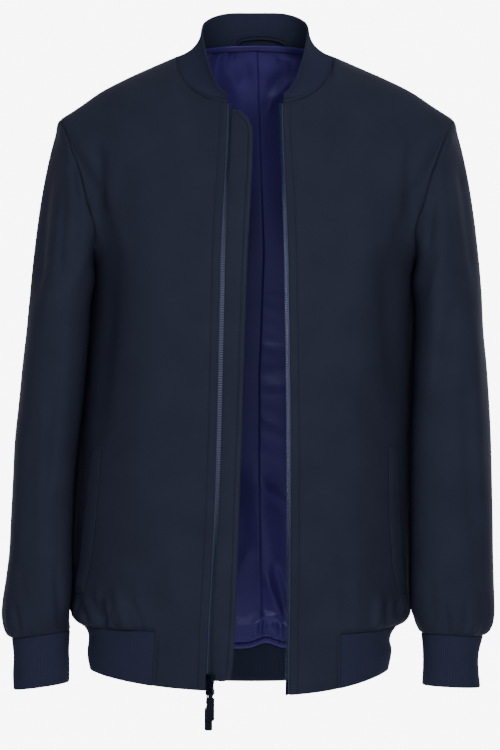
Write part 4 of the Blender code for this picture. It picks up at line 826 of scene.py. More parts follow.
# %% The back
def back_piece():
    points, normals = (net[hem_row:] for net in cloth["back"])
    across, up = lengths(points, 1), lengths(points, 0)
    from_side = np.minimum(across, across[:, -1:] - across)
    from_top = up[-1:] - up
    middle = points.shape[1] // 2
    columns = np.abs(np.arange(points.shape[1]) - middle)
    on_neck, on_armhole = columns < NECK_BACK_COLUMNS * FINE, columns >= BACK_TIP
    move = upper_seam(from_top, on_armhole) + dent(from_side, *SIDE_SEAM)
    move += dent(from_top - NECK_STITCH, *STITCHED) * on_neck
    high = on_armhole & (points[-1, :, 2] > ARMHOLE_STITCH_END)
    move += dent(from_top - ARMHOLE_STITCH, *STITCHED) * high
    move += dent(up, *RIB_SEAM) + dent(up - RIB_STITCH, *STITCHED)
    move += ripple(across, from_top - NECK_STITCH, 0.0003, 0.006, 9) * on_neck
    uv = np.stack([across - across[:, middle:middle + 1], up], -1)
    return twill_piece("back", points, normals, move, uv=uv)


outer_faces["back"], back = back_piece()

# %% [markdown]
# ## The sleeves
# A sleeve is one tube of cloth here. Its head is eased into the armhole, which lifts
# it a little beyond the seam, and its end is gathered into the cuff.

# %% Sleeves
def sleeve_piece(side, name):
    points, normals = cloth[name]
    down = lengths(points, 0)
    from_cuff = down[-1:] - down
    turn = np.linspace(0, 2 * math.pi, points.shape[1])
    head = smooth_step(0.35, 0.75, 0.5 - 0.5 * np.cos(turn))
    move = dent(down, 0.0020, 0.0014) + 0.0016 * head * np.exp(-((down - 0.008) / 0.007) ** 2)
    move += dent(from_cuff, 0.0014, 0.0020)
    move += ripple(turn * 0.05, down - 0.006, 0.0005, 0.010, 11 + int(side)) * head
    return twill_piece(name, points, normals, move)[1]


for side, name in ((RIGHT, "sleeve_right"), (LEFT, "sleeve_left")):
    piece = sleeve_piece(side, name)

# %% [markdown]
# ## Rib knit
# The collar, the cuffs and the hem are knitted in fine vertical ribs that let them
# stretch. Each rib is a real ridge, on both faces, a little more than two millimetres
# from the next. Rows can stay far apart, because a rib runs straight up.

# %% Ribs
RIB_PITCH, RIB_HEIGHT = 0.0023, 0.00032


def ribbed_piece(name, points, normals, keep_closed=False):
    """A band of rib knit: the net's columns are spaced again, four to a rib."""
    run = lengths(points, 1)[len(points) // 2, -1]
    ribs = max(int(round(run / RIB_PITCH)), 4)
    count = 4 * ribs
    points, normals = respaced(points, normals, np.linspace(0, 1, count + 1))
    if keep_closed:
        points[:, -1], normals[:, -1] = points[:, 0], normals[:, 0]
    wave = np.cos(2 * math.pi * np.arange(count + 1) / 4)
    lift = (RIB_HEIGHT * (0.5 * wave - 0.5))[None, :, None]
    rib_places = np.linspace(0, ribs * RIB_PITCH, count + 1)[None]
    uv = np.stack(np.broadcast_arrays(rib_places, lengths(points, 0)), -1)
    outer, inner = points + normals * lift, points - normals * (RIB_THICK + lift)
    return cloth_piece(name, outer, inner, "rib_knit", rib_knit, uv=uv, rim=RIB_RIM)


hem = [np.concatenate([right[:hem_row + 1, notch_column:], rear[:hem_row + 1, 1:-1],
                       left[:hem_row + 1, notch_column:][:, ::-1]], axis=1)
       for right, rear, left in zip(cloth["front_right"], cloth["back"], cloth["front_left"])]
hem_rib = ribbed_piece("hem_rib", *hem)
for name in ("cuff_right", "cuff_left"):
    cuff = ribbed_piece(name, *cloth[name], keep_closed=True)
collar = ribbed_piece("collar", *cloth["collar"])

# %% [markdown]
# ## The lining
# Satin hangs loose inside the back, in two halves that meet at a seam. It drags in
# slanted creases beside the seam, puckers below the neck band and is gathered at its
# foot, where a soft roll of the same satin covers its edge.

# %% The two halves of the lining
LINING_DEPTHS = mm([  # distance below the origin, depth behind the outer face
    (100, 2.4), (300, 3.4), (360, 4.4), (500, 4.6), (560, 5.6), (601, 9.2), (628, 12.1), (650, 13.6),
    (667.5, 13.4), (678, 11.6), (684, 9.1), (690, 7.6), (697, 7), (720, 7)])
LINING_SEAM = mm([  # z, x
    (16, 2.6), (-230, 11.2), (-385, 5.7), (-530, 5.7), (-705, 10)])
LINING_CREASES = mm([  # x0, z0, x1, z1, face, width, height towards the wearer
    (10, -56, 46, -16, 1, 6, 3.6), (16, -34, 44, -12, 1, 6, -2.2), (-10, -4, 38, -14, 1, 3.4, 2.8),
    (26, 7, 50, 0, 1, 4, 2.6), (-40, 6, -14, -50, 1, 12, 3.4), (-56, -10, -30, -90, 1, 9, -2),
    (-22, -24, -4, -12, 1, 5, -1.6), (-26, 18, -30, -4, 1, 2.4, -2), (-34, 18, -40, -8, 1, 2.6, 1.8),
    (-42, 18, -50, -10, 1, 2.6, -2.2), (-52, 18, -62, -12, 1, 3, 1.8), (0, -348, 90, -349, 1, 5, 0.9),
    (0, -378, 90, -374, 1, 8, -1.2), (0, -397, 90, -396, 1, 3, 1), (0, -404, 60, -400, 1, 2.6, -0.7),
    (2, -436, 50, -452, 1, 4.5, 1), (0, -444, 44, -464, 1, 4.5, -1.3), (0, -474, 38, -492, 1, 3.6, -1.2),
    (0, -504, 42, -524, 1, 4, -1.1), (2, -515, 50, -545, 1, 5, 1.2), (-2, -396, -60, -399, 1, 3, 0.6),
    (21, -615, 38, -674, 1, 4.2, -3), (13, -630, 34, -686, 1, 4.2, 2.6), (-4, -590, -30, -660, 1, 10, 1.4),
    (-40, -692, 4, -684, 1, 8, 1.4), (8, -684, 30, -680, 1, 6, 2), (22, -700, 27, -686, 1, 2.6, -1.8),
    (28, -704, 36, -690, 1, 2.8, 1.8), (14, -702, 20, -690, 1, 2.6, -2), (4, -706, 9, -690, 1, 2.4, 1.4)])
LINING_SHARES = np.concatenate([
    [0, 0.0010, 0.0022, 0.0036], np.linspace(0.0060, 0.42, 80), np.linspace(0.42, 1, 18)[1:]])


def foot_rise(points):
    """The lining's foot is drawn up a little beside its seam."""
    x, z = points[..., 0], points[..., 2]
    return 0.0070 * np.exp(-((x - 0.014) / 0.015) ** 2) * smooth_step(-0.655, -0.705, z)


def evened(points, passes=70):
    """Evens out the depth from row to row towards the lining's foot."""
    y = points[..., 1]
    share = 0.5 * smooth_step(-0.57, -0.63, points[1:-1, :, 2])
    for _ in range(passes):
        y[1:-1] += share * ((y[:-2] + y[2:]) / 2 - y[1:-1])


def lining_net(side):
    """The outer face of half the lining, from its foot to the neck and from the seam."""
    points, normals = (net[8:-2].copy() for net in cloth["back"])
    points[0], normals[0] = 0.7 * points[0] + 0.3 * points[1], 0.7 * normals[0] + 0.3 * normals[1]
    middle = points.shape[1] // 2
    depth = np.interp(-points[:, middle, 2], *LINING_DEPTHS.T)
    half = slice(middle, None) if side == LEFT else slice(middle, None, -1)
    points, normals = respaced(points[:, half], normals[:, half], LINING_SHARES)
    x, z = points[..., 0].copy(), points[..., 2]
    normals[..., 2] *= 1 - smooth_step(-0.54, -0.62, z)
    normals = unit(normals)
    seam = np.interp(-z, -LINING_SEAM[:, 0], LINING_SEAM[:, 1])
    points[..., 0] += seam * np.exp(-(x / 0.06) ** 2)
    from_seam = lengths(points, 1)
    x, z = points[..., 0], points[..., 2]
    gather = smooth_step(-0.690, -0.708, z)
    waves = np.sin(2 * math.pi * x / 0.0095 + 2.6 * np.sin(x / 0.017) + z / 0.013) * np.sin(x / 0.027 + 0.6)
    drag = np.sin(2 * math.pi * (z + 0.35 * from_seam) / 0.021 + 2.0 * np.sin(z / 0.047))
    drag *= np.exp(-(from_seam / 0.030) ** 2) * smooth_step(0.0005, 0.006, from_seam)
    inward = fold_height(points, LINING_CREASES) + 0.0004 * gather * waves
    inward += drag * (0.00030 if side == LEFT else 0.00015)
    inward += dent(from_seam, 0.0005, 0.0007)
    points[..., 2] += foot_rise(points)
    points -= normals * depth[:, None, None]
    evened(points)
    return points - normals * np.maximum(inward, -0.0016)[..., None], normals


for side, name in ((RIGHT, "lining_back_right"), (LEFT, "lining_back_left")):
    points, normals = lining_net(side)
    points[:, :1] += (points[:, 1:2] - points[:, :1]) * 0.1
    lining = cloth_piece(name, points, points - normals * SATIN_THICK, "satin_lining", satin)

# %% The roll at the foot and the band at the neck
PIPING_DEPTH, BAND_DEPTH = 0.0076, 0.0046  # behind the back's outer face
EDGE_SHARES = np.linspace(0, 1, 9)[:, None, None]


def piping_net():
    points, normals = cloth["back"]
    share = EDGE_SHARES
    low, high = points[7], 0.75 * points[8] + 0.25 * points[9]
    points = low * (1 - share) + high * share
    facing = np.repeat(normals[8][None], len(share), axis=0)
    points, normals = respaced(points, facing, np.linspace(0, 1, 500))
    x = points[..., 0]
    points[..., 2] += foot_rise(points)
    tuck = np.sin(2 * math.pi * (x + 0.004 * share[..., 0]) / 0.0046 + 1.4 * np.sin(x / 0.013))
    round_half = 0.0003 + 0.0010 * np.sin(math.pi * share)
    swell = 0.00055 * (1 + tuck[..., None]) * np.sin(math.pi * share) ** 0.5
    return tuple(points - normals * depth for depth in (PIPING_DEPTH - round_half,
                                                        PIPING_DEPTH + round_half + swell))


def band_net():
    back, facing = cloth["back"]
    reach, middle = (NECK_BACK_COLUMNS - 1) * FINE, back.shape[1] // 2
    around = slice(middle - reach, middle + reach + 1)
    low = (back[-2] - facing[-2] * BAND_DEPTH)[around]
    collar, facing = cloth["collar"]
    middle = collar.shape[1] // 2
    around = slice(middle - reach, middle + reach + 1)
    high = (collar[6] - facing[6] * (RIB_THICK + 0.0008))[around]
    share = EDGE_SHARES
    outer = low * (1 - share) + high * share
    inward = unit(facing[6][around]) * -1.0
    x = outer[..., :1]
    pucker = np.sin(2 * math.pi * x / 0.0052 + 1.9 * np.sin(x / 0.011)) * np.sin(x / 0.019 + 0.8)
    outer = outer + inward * (0.0008 * np.sin(math.pi * share) ** 0.7 + 0.00035 * pucker * (1 - share) ** 0.5)
    return outer, outer + inward * SATIN_THICK


piping = cloth_piece("lining_piping", *piping_net(), "satin_lining", satin)
band = cloth_piece("lining_neck_band", *band_net(), "satin_lining", satin)

# %% [markdown]
# ## What lies on the fronts
# The underlap hangs behind the zip of the wearer's right front, with a rounded upper
# corner. Slanted welts cover the pockets. Both are set out from the front's own net.

# %% Strips set out from a net
def sampled(net, places):
    """Rows of a net at places between its own."""
    low = np.clip(places.astype(int), 0, len(net[0]) - 2)
    mix = (places - low)[:, None, None]
    p, n = (part[low] * (1 - mix) + part[low + 1] * mix for part in net)
    return p, unit(n)


def strip(net, across, lift):
    """A net along rows: distances from each row's first point and heights over it."""
    outer, facing = [], []
    for p, n, a, h in zip(*net, across, lift):
        run = lengths(p[None], 1)[0]
        inside, normal = read_at(run, a, p), unit(read_at(run, a, n))
        past = unit(p[0] - p[4]) * np.maximum(-a, 0)[:, None]
        outer.append(inside + past + normal * np.broadcast_to(h, a.shape)[:, None])
        facing.append(normal)
    return np.array(outer), np.array(facing)


def row_places(points, heights):
    """Where a net's first column reaches these heights."""
    return np.interp(heights, points[:, 0, 2], np.arange(len(points)))


# %% Underlap
UNDERLAP_EDGE = mm([  # z, distance of the free edge from the middle
    (-69, 18), (-70, 14), (-72.2, 9.5), (-76.6, 5.2), (-82.5, 2), (-90, 0.4), (-124, 1.8), (-170, 5),
    (-236, 9.6), (-350, 13), (-528, 19), (-678, 24.2), (-722, 27.7), (-735, 29.6), (-738, 31.8), (-740, 37)])
UNDERLAP_FACE, UNDERLAP_THICK, UNDERLAP_STITCH, UNDERLAP_COLUMNS = 0.0043, 0.0022, 0.0062, 31


def underlap_net():
    heights = np.concatenate([np.linspace(-0.740, -0.730, 9), np.linspace(-0.728, -0.092, 150),
                              np.linspace(-0.090, -0.0685, 26)])
    net = sampled(cloth["front_right"], row_places(cloth["front_right"][0], heights))
    edge = np.abs(net[0][:, 0, 0]) - np.interp(-heights, -UNDERLAP_EDGE[:, 0], UNDERLAP_EDGE[:, 1])
    under_front = np.tile(np.linspace(0.002, 0.012, 4), (len(edge), 1))
    across = np.concatenate([-edge[:, None] * np.linspace(1, 0, UNDERLAP_COLUMNS), under_front], axis=1)
    free = np.stack([-edge, heights], 1)
    away = np.hypot(across[..., None] - free[:, 0], (heights[:, None] - free[:, 1])[:, None, :]).min(axis=-1)
    behind = -UNDERLAP_FACE - 0.0022 * smooth_step(-0.66, -0.715, heights)[:, None]
    sag = 0.0008 * np.sin(heights / 0.031)[:, None] * smooth_step(0.0, -0.02, across)
    lift = behind + sag - 0.0008 + dent(away - UNDERLAP_STITCH, *STITCHED) + dent(away, 0.0005, 0.0012)
    return strip(net, across, lift)


underlap_outer, underlap_facing = underlap_net()
underlap_inner = underlap_outer - underlap_facing * UNDERLAP_THICK
underlap = cloth_piece("underlap", underlap_outer, underlap_inner, "twill", underlap_twill_painted_light, rim=0.0007)

# %% Pocket welts
WELT_LINES = mm([  # z, start and width, forward from the side seam
    (-470, 52, 16), (-500, 48, 21), (-560, 41, 25), (-610, 34, 26), (-632, 31, 24)])
WELT_FOOT, WELT_HEAD = -0.6405, -0.4665
WELT_THICK, WELT_GAP, WELT_STITCH, WELT_BAR = 0.0016, 0.0006, 0.0030, 0.0060
welt_outer = {}
for name in ("right", "left"):
    from_seam = tuple(net[:, ::-1] for net in cloth["front_" + name])
    heights = np.linspace(WELT_FOOT, WELT_HEAD, 64)
    net = sampled(from_seam, row_places(from_seam[0], heights))
    start, width = (np.interp(-heights, -WELT_LINES[:, 0], WELT_LINES[:, k]) for k in (1, 2))
    share = np.linspace(0, 1, 17)
    across = start[:, None] + width[:, None] * share
    to_long = width[:, None] * (1 - share)
    to_end = np.minimum(heights - WELT_FOOT, WELT_HEAD - heights)[:, None]
    lift = WELT_GAP + WELT_THICK + dent(to_long - WELT_STITCH, 0.0008, 0.0010)
    lift = lift + dent(to_end - WELT_STITCH, 0.0008, 0.0010) + dent(to_end - WELT_BAR, 0.0006, 0.0009)
    lift += dent(to_long, 0.0006, 0.0010)
    outer, facing = strip(net, across, lift)
    inner, _ = strip(net, across, WELT_GAP * np.ones(len(heights)))
    welt_outer[name] = (outer, facing)
    welt = cloth_piece("pocket_welt_" + name, outer, inner, "twill", twill, rim=0.0004)

# %% Hanger loop
HANGER_LINE = mm([
    (-21, 0, 20), (-16, 0, 24.5), (-4, 0, 26.8), (10, 0, 27), (24, 0, 25.4), (33, 0, 22.2), (37, 0, 19.5)])
HANGER_WIDTH, HANGER_THICK, HANGER_CLEAR = 0.0042, 0.0012, 0.0009


def hanger_net():
    line = spline(HANGER_LINE, np.linspace(0, 1, 61))
    away = unit(np.cross(np.gradient(line, axis=0), (0, 1.0, 0)))
    net = line[:, None] + away[:, None] * (np.linspace(-0.5, 0.5, 9) * HANGER_WIDTH)[None, :, None]
    wall = BVHTree.FromPolygons([v.co for v in collar.data.vertices],
                                [f.vertices[:] for f in collar.data.polygons])
    for place in net.reshape(-1, 3):
        place[1] = wall.ray_cast(Vector(place), Vector((0, 1, 0)))[0].y - HANGER_CLEAR
    net[..., 1] = np.minimum(net[..., 1], net[..., 1].min(axis=1, keepdims=True) + 0.0004)
    return net


def hanger_painted_shade_finish():
    """A darker copy of the outer cloth as painted shade, with painted shadow along the edges where the folds
    turn under.
    """
    f = Finish("hanger_twill_painted_shade", shade(TWILL, 0.9), 0.9, **MATT)
    across = f.add("ShaderNodeSeparateXYZ", Vector=f.uv()).outputs["X"]
    off_middle = f.maths("ABSOLUTE", f.maths("SUBTRACT", f.maths("DIVIDE", across, HANGER_WIDTH), 0.5), 0)
    # Painted shade: the colour falls from 0.85 to 0.25 of the twill towards both edges, standing in for the
    # shadow of the folded edges.
    f.colour(f.ramp(off_middle, shade(TWILL, 0.85), shade(TWILL, 0.25), (0.28, 0.42)))
    return f.bump(f.bands(f.uv(turn=WEAVE_TURN), WEAVE), 0.00010, 0.35).material


hanger_back = hanger_net()
round_over = 0.0003 * np.sin(np.linspace(0, math.pi, 9))[None, :, None] * np.array([0, 1, 0])
hanger_front = hanger_back - (0, HANGER_THICK, 0) - round_over
hanger = cloth_piece("hanger_loop", hanger_back, hanger_front, "twill", hanger_painted_shade_finish(), rim=0.0003)

# %% [markdown]
# ## The zip
# Woven tape carries moulded teeth. The tape shows as a paler line beside the front's
# edge, and each tooth is a rounded block that grips a cord along the tape. The teeth
# and all stitches are copies of one small piece, set along paths.

# %% Copies along a path
def repeat_group():
    """Geometry nodes that set a piece along each path, turned to the path's facing."""
    group = bpy.data.node_groups.new("repeat_along_path", "GeometryNodeTree")
    for name, kind in (("Path", "Geometry"), ("Piece", "Object"), ("Pitch", "Float"), ("Finish", "Material")):
        group.interface.new_socket(name, in_out="INPUT", socket_type="NodeSocket" + kind)
    group.interface.new_socket("Pieces", in_out="OUTPUT", socket_type="NodeSocketGeometry")

    def add(kind, **settings):
        node = group.nodes.new(kind)
        for key, value in settings.items():
            setattr(node, key, value)
        return node

    start, end = add("NodeGroupInput"), add("NodeGroupOutput")
    curve, even = add("GeometryNodeMeshToCurve"), add("GeometryNodeResampleCurve", mode="LENGTH")
    facing = add("GeometryNodeInputNamedAttribute", data_type="FLOAT_VECTOR")
    facing.inputs["Name"].default_value = "facing"
    tangent, piece = add("GeometryNodeInputTangent"), add("GeometryNodeObjectInfo")
    along = add("FunctionNodeAlignRotationToVector", axis="X")
    turned = add("FunctionNodeAlignRotationToVector", axis="Z", pivot_axis="X")
    place, real = add("GeometryNodeInstanceOnPoints"), add("GeometryNodeRealizeInstances")
    dye = add("GeometryNodeSetMaterial")
    for source, out, target, into in (
            (start, "Path", curve, "Mesh"), (curve, "Curve", even, "Curve"), (start, "Pitch", even, "Length"),
            (even, "Curve", place, "Points"), (start, "Piece", piece, "Object"),
            (piece, "Geometry", place, "Instance"), (tangent, "Tangent", along, "Vector"),
            (along, "Rotation", turned, "Rotation"), (facing, "Attribute", turned, "Vector"),
            (turned, "Rotation", place, "Rotation"), (place, "Instances", real, "Geometry"),
            (real, "Geometry", dye, "Geometry"), (start, "Finish", dye, "Material"),
            (dye, "Geometry", end, "Pieces")):
        group.links.new(source.outputs[out], target.inputs[into])
    return group


REPEAT = repeat_group()


def along_paths(name, paths, piece, pitch, finish):
    """Copies of a piece along paths; each path is its points and facing directions."""
    points, facing = (np.concatenate([path[k] for path in paths]) for k in (0, 1))
    ends = set(np.cumsum([len(path[0]) for path in paths]).tolist())
    mesh = bpy.data.meshes.new(name)
    mesh.from_pydata(points.tolist(), [(k, k + 1) for k in range(len(points) - 1) if k + 1 not in ends], [])
    told = mesh.attributes.new("facing", "FLOAT_VECTOR", "POINT")
    told.data.foreach_set("vector", facing.astype(np.float32).ravel())
    row = placed(name, mesh)
    modifier = row.modifiers.new("repeat", "NODES")
    modifier.node_group = REPEAT
    values = {"Piece": piece, "Pitch": pitch, "Finish": finish}
    for socket in REPEAT.interface.items_tree:
        if socket.in_out == "INPUT" and socket.name in values:
            modifier[socket.identifier] = values[socket.name]
    row.data = bpy.data.meshes.new_from_object(row.evaluated_get(bpy.context.evaluated_depsgraph_get()))
    row.modifiers.clear()
    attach(row, "jacket")
    print(name, "faces:", len(row.data.polygons))


def small_piece(name, build):
    model = bmesh.new()
    build(model)
    return bpy.data.objects.new(name, mesh_of(name, model))


# %% Tape and teeth
TAPE_SHOWN, TAPE_THICK, TOOTH_PITCH, TOOTH_WIDTH, TOOTH_THICK = 0.0024, 0.0008, 0.00277, 0.0026, 0.0024
TAPE_DEPTH = TWILL_THICK + 0.0006 + TAPE_THICK / 2
PIN_LENGTH, PIN_RADIUS = 0.0165, 0.0014
TAPE_ROWS, TAPE_TOP = 240, 0.0068  # its upper end lies this far below the neck seam
# Painted highlight: the tape and the teeth are coloured lighter at mid height and darker towards both ends,
# standing in for a lamp's reflection on the zip.
MID_HEIGHT_HIGHLIGHT_WAVE = 1.35  # one wave over the zip's height, with its crest at mid height
TAPE_PAINTED_HIGHLIGHT_SHADES = (0.020, 0.027, 0.067), (0.046, 0.056, 0.115)
TOOTH_PAINTED_HIGHLIGHT_SHADES = (0.014, 0.020, 0.040), (0.092, 0.104, 0.165)


def tape_finish():
    f = Finish("zip_tape", TAPE, 0.75, **{"Specular IOR Level": 0.3, "Sheen Weight": 0.1})
    # painted highlight: lighter at mid height, darker towards both ends
    f.colour(f.ramp(f.bands(f.place(), MID_HEIGHT_HIGHLIGHT_WAVE, "Z"), *TAPE_PAINTED_HIGHLIGHT_SHADES, (0.35, 0.85)))
    weave = f.maths("ADD", f.bands(f.uv(), 1100.0), f.bands(f.uv(), 700.0, "Y"))
    return f.bump(weave, 0.0002, 0.5).material


def tooth_finish():
    gloss = {"Specular IOR Level": 0.25, "Specular Tint": (0.6, 0.8, 1.0, 1.0)}
    f = Finish("zip_teeth", (0.024, 0.034, 0.052), 0.34, **gloss)
    # painted highlight: lighter at mid height, darker towards both ends
    f.colour(f.ramp(f.bands(f.place(), MID_HEIGHT_HIGHLIGHT_WAVE, "Z"), *TOOTH_PAINTED_HIGHLIGHT_SHADES, (0.35, 0.85)))
    return f.grain(1500.0, 0.00003, 0.3).material


def tooth(model):
    """A moulded tooth: a block round the cord, and a narrower head towards the middle."""
    for width, along, thick, across in (
            (0.0017, 0.0017, TOOTH_THICK, -0.0004), (0.0018, 0.0016, 0.0022, 0.0010)):
        block = Matrix.Translation((0, across, 0)) @ Matrix.Diagonal((along, width, thick, 1))
        made = bmesh.ops.create_cube(model, size=1.0)["verts"]
        bmesh.ops.transform(model, verts=made, matrix=block)
    bmesh.ops.bevel(model, geom=model.edges[:], offset=0.00026, segments=1, affect="EDGES")


tape_material, tooth_material = tape_finish(), tooth_finish()
tooth_piece = small_piece("tooth", tooth)
for side, name in ((RIGHT, "right"), (LEFT, "left")):
    points, normals = cloth["front_" + name]
    from_top = (lengths(points, 0)[-1:] - lengths(points, 0))[:, 0]
    spots = np.linspace(from_top[0], TAPE_TOP, TAPE_ROWS)
    net = sampled((points, normals), np.interp(spots, from_top[::-1], np.arange(len(points))[::-1]))
    columns = [-TAPE_SHOWN, -0.0021, -0.0018, -0.0014, -0.0010, -0.0004, 0.0, 0.003, 0.007]
    across = np.tile(columns, (TAPE_ROWS, 1))
    cord = 0.0007 * np.exp(-((across + 0.0015) / 0.0006) ** 2)
    outer, facing = strip(net, across, -TAPE_DEPTH + TAPE_THICK / 2 + cord)
    inner, _ = strip(net, across, -TAPE_DEPTH - TAPE_THICK / 2 - cord)
    tape = cloth_piece("zip_tape_" + name, outer, inner, "zip_tape", tape_material, rim=0.0001)
    in_line = np.full((TAPE_ROWS, 1), -TAPE_SHOWN - TOOTH_WIDTH / 2)
    line, facing = (part[:, 0] for part in strip(net, in_line, np.full((TAPE_ROWS, 1), -TAPE_DEPTH)))
    if side == LEFT:
        in_pin = line[:, 2] < line[0, 2] + PIN_LENGTH
        pin_line, path = line[:in_pin.sum() + 1], (line[~in_pin], facing[~in_pin])
    else:
        path = (line[::-1], facing[::-1])
    along_paths("zip_teeth_" + name, [path], tooth_piece, TOOTH_PITCH, tooth_material)
bpy.data.objects.remove(tooth_piece)

# %% Stitches
def stitch(model):
    bmesh.ops.create_uvsphere(model, u_segments=6, v_segments=4, radius=1.0)
    bmesh.ops.rotate(model, verts=model.verts, matrix=Matrix.Rotation(math.pi / 2, 3, "Y"))
    bmesh.ops.transform(model, verts=model.verts, matrix=Matrix.Diagonal((0.00130, 0.00034, 0.00026, 1)))


def seam_line(points, normals, distance, rows=slice(None), from_end=False, lift=0.0001):
    """A line of stitches at a distance from one end of each row."""
    found = [place_at(points, normals, row, distance, from_end) for row in range(len(points))[rows]]
    line, facing = (np.array(part) for part in zip(*found))
    return line + facing * lift, facing


def upright(net):
    return tuple(part.transpose(1, 0, 2) for part in net)


STITCH_PITCH = 0.0032
# Painted shade: the thread is coloured far darker than the twill it is sewn with, standing in for the shade
# in the groove under each stitch.
thread = Finish("thread", shade(TWILL, 0.30), 0.8, **{"Specular IOR Level": 0.1})
thread = thread.mottled(700.0, shade(TWILL, 0.20), shade(TWILL, 0.42)).material
stitch_piece = small_piece("stitch", stitch)
paths = {}
for name in ("front_right", "front_left"):
    net = (outer_faces[name], cloth[name][1])
    high_armhole = np.flatnonzero(net[0][-1, :, 2] > ARMHOLE_STITCH_END)
    above = tuple(part[hem_row:] for part in net)
    plain_block = tuple(part[:hem_row + 1, :notch_column + 1] for part in net)
    paths[name] = [
        seam_line(*net, EDGE_STITCH, slice(None, -12)),
        seam_line(*upright(net), NECK_STITCH, slice(10, NECK_FRONT_COLUMNS * FINE), True),
        seam_line(*upright(net), ARMHOLE_STITCH, slice(FRONT_TIP + 2, int(high_armhole.max())), True),
        seam_line(*upright(above), RIB_STITCH, slice(notch_column, -2)),
        seam_line(*plain_block, NOTCH_STITCH, slice(1, None), True)]
net = (outer_faces["back"], cloth["back"][1][hem_row:])
middle, reach = net[0].shape[1] // 2, NECK_BACK_COLUMNS * FINE
steep = int((net[0][-1, :middle, 2] > ARMHOLE_STITCH_END).argmax())
paths["back"] = [
    seam_line(*upright(net), NECK_STITCH, slice(middle - reach, middle + reach + 1), True),
    seam_line(*upright(net), ARMHOLE_STITCH, slice(steep, middle - BACK_TIP - 2), True),
    seam_line(*upright(net), ARMHOLE_STITCH, slice(middle + BACK_TIP + 2, 2 * middle - steep), True),
    seam_line(*upright(net), RIB_STITCH, slice(2, -2))]
for name, lines in paths.items():
    along_paths("stitches_" + name, lines, stitch_piece, STITCH_PITCH, thread)
welt_lines = []
for name in ("right", "left"):
    net = welt_outer[name]
    welt_lines += [seam_line(*net, WELT_STITCH, slice(2, -2), True)]
    welt_lines += [seam_line(*upright(net), distance, slice(1, -2), from_end)
                   for distance, from_end in ((WELT_STITCH, False), (WELT_STITCH, True), (WELT_BAR, False))]
along_paths("stitches_welts", welt_lines, stitch_piece, STITCH_PITCH, thread)
net = (underlap_outer, underlap_facing)
edge_line = seam_line(*net, UNDERLAP_STITCH, slice(4, -24))
top_line = seam_line(*upright(net), UNDERLAP_STITCH, slice(14, UNDERLAP_COLUMNS), True)
along_paths("stitches_underlap", [edge_line, top_line], stitch_piece, STITCH_PITCH, thread)
bpy.data.objects.remove(stitch_piece)

# %% [markdown]
# ## Sliders and pulls
# Two sliders sit at the foot of the right front. A slider is two plates joined by a
# wedge, with a bail on its front. A cast link hangs in the bail and a moulded tab
# hangs in the link; both ride on their own bodies.

# %% Metal and rubber
gunmetal = Finish("gunmetal", (0.004, 0.005, 0.009), 0.24, Metallic=1.0)
gunmetal.mottled(240.0, (0.0030, 0.0040, 0.0075), (0.0060, 0.0076, 0.0130), (0.35, 0.7))
gunmetal = gunmetal.grain(900.0, 0.00004, 0.3).material
nickel = Finish("nickel", METAL, 0.20, Metallic=1.0).grain(700.0, 0.00004, 0.25).material
rubber = Finish("moulded_tab", RUBBER, 0.55, **{"Specular IOR Level": 0.06})
rubber.mottled(120.0, shade(RUBBER, 0.85), shade(RUBBER, 1.2))
rubber = rubber.grain(2200.0, 0.00005, 0.4).material
SHARP_ANGLE = math.radians(40)
hinges = {joint["name"]: joint for joint in frame["joints"]}
print("hinges:", list(hinges))

# %% Shapes from outlines
def plate(model, outline, thick, place=(0, 0, 0), bevel=0.0003, segments=2):
    """A flat piece in the XZ plane, extruded along Y and bevelled."""
    corners = [model.verts.new((x, -thick / 2, z)) for x, z in outline]
    face = model.faces.new(corners)
    grown = bmesh.ops.extrude_face_region(model, geom=[face])
    moved = [v for v in grown["geom"] if isinstance(v, bmesh.types.BMVert)]
    bmesh.ops.translate(model, verts=moved, vec=(0, thick, 0))
    verts = corners + moved
    bmesh.ops.translate(model, verts=verts, vec=place)
    edges = {e for v in verts for e in v.link_edges}
    bmesh.ops.bevel(model, geom=list(edges), offset=bevel, segments=segments, affect="EDGES", profile=0.5)


def rounded(width, height, corner, low=0.0, steps=6):
    """A rectangle with round corners, from low upwards or downwards."""
    turn = np.linspace(0, math.pi / 2, steps)
    x, z = width / 2 - corner, height - corner
    spots = []
    for cx, cz, quarter in ((x, z, 0), (-x, z, 1), (-x, corner, 2), (x, corner, 3)):
        angles = [a + quarter * math.pi / 2 for a in turn]
        spots += [(cx + corner * math.cos(a), low + cz + corner * math.sin(a)) for a in angles]
    return spots


def skin(model, rings, closed):
    """Faces between each ring of points and the next, and from the last to the first."""
    sides = len(rings[0])
    for a, b in zip(rings, rings[1:] + rings[:1] if closed else rings[1:]):
        for k in range(sides):
            model.faces.new((a[k], a[(k + 1) % sides], b[(k + 1) % sides], b[k]))


def tube(model, points, radius, sides=10, closed=False, flat=1.0):
    """A round wire through points; flat squeezes it along Y."""
    points = np.asarray(points, float)
    ahead = unit(np.roll(points, -1, axis=0) - np.roll(points, 1, axis=0) if closed
                 else np.gradient(points, axis=0))
    first = unit(np.cross(ahead, (0, 1.0, 0)) + 1e-9)
    second = unit(np.cross(ahead, first))
    rings = [[model.verts.new(p + radius * (math.cos(a) * u + flat * math.sin(a) * v))
              for a in np.arange(sides) * 2 * math.pi / sides] for p, u, v in zip(points, first, second)]
    skin(model, rings, closed)
    if not closed:
        model.faces.new(rings[0][::-1])
        model.faces.new(rings[-1])


def finished(name, model, frame_matrix, finish, body, node=None):
    """A finished piece at the world's origin, with its points where they belong."""
    bmesh.ops.recalc_face_normals(model, faces=model.faces[:])
    model.transform(frame_matrix)
    mesh = mesh_of(name, model)
    mesh.shade_smooth()
    mesh.set_sharp_from_angle(angle=SHARP_ANGLE)
    mesh.materials.append(finish)
    piece = placed(name, mesh)
    if node:
        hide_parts(node)
    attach(piece, body)


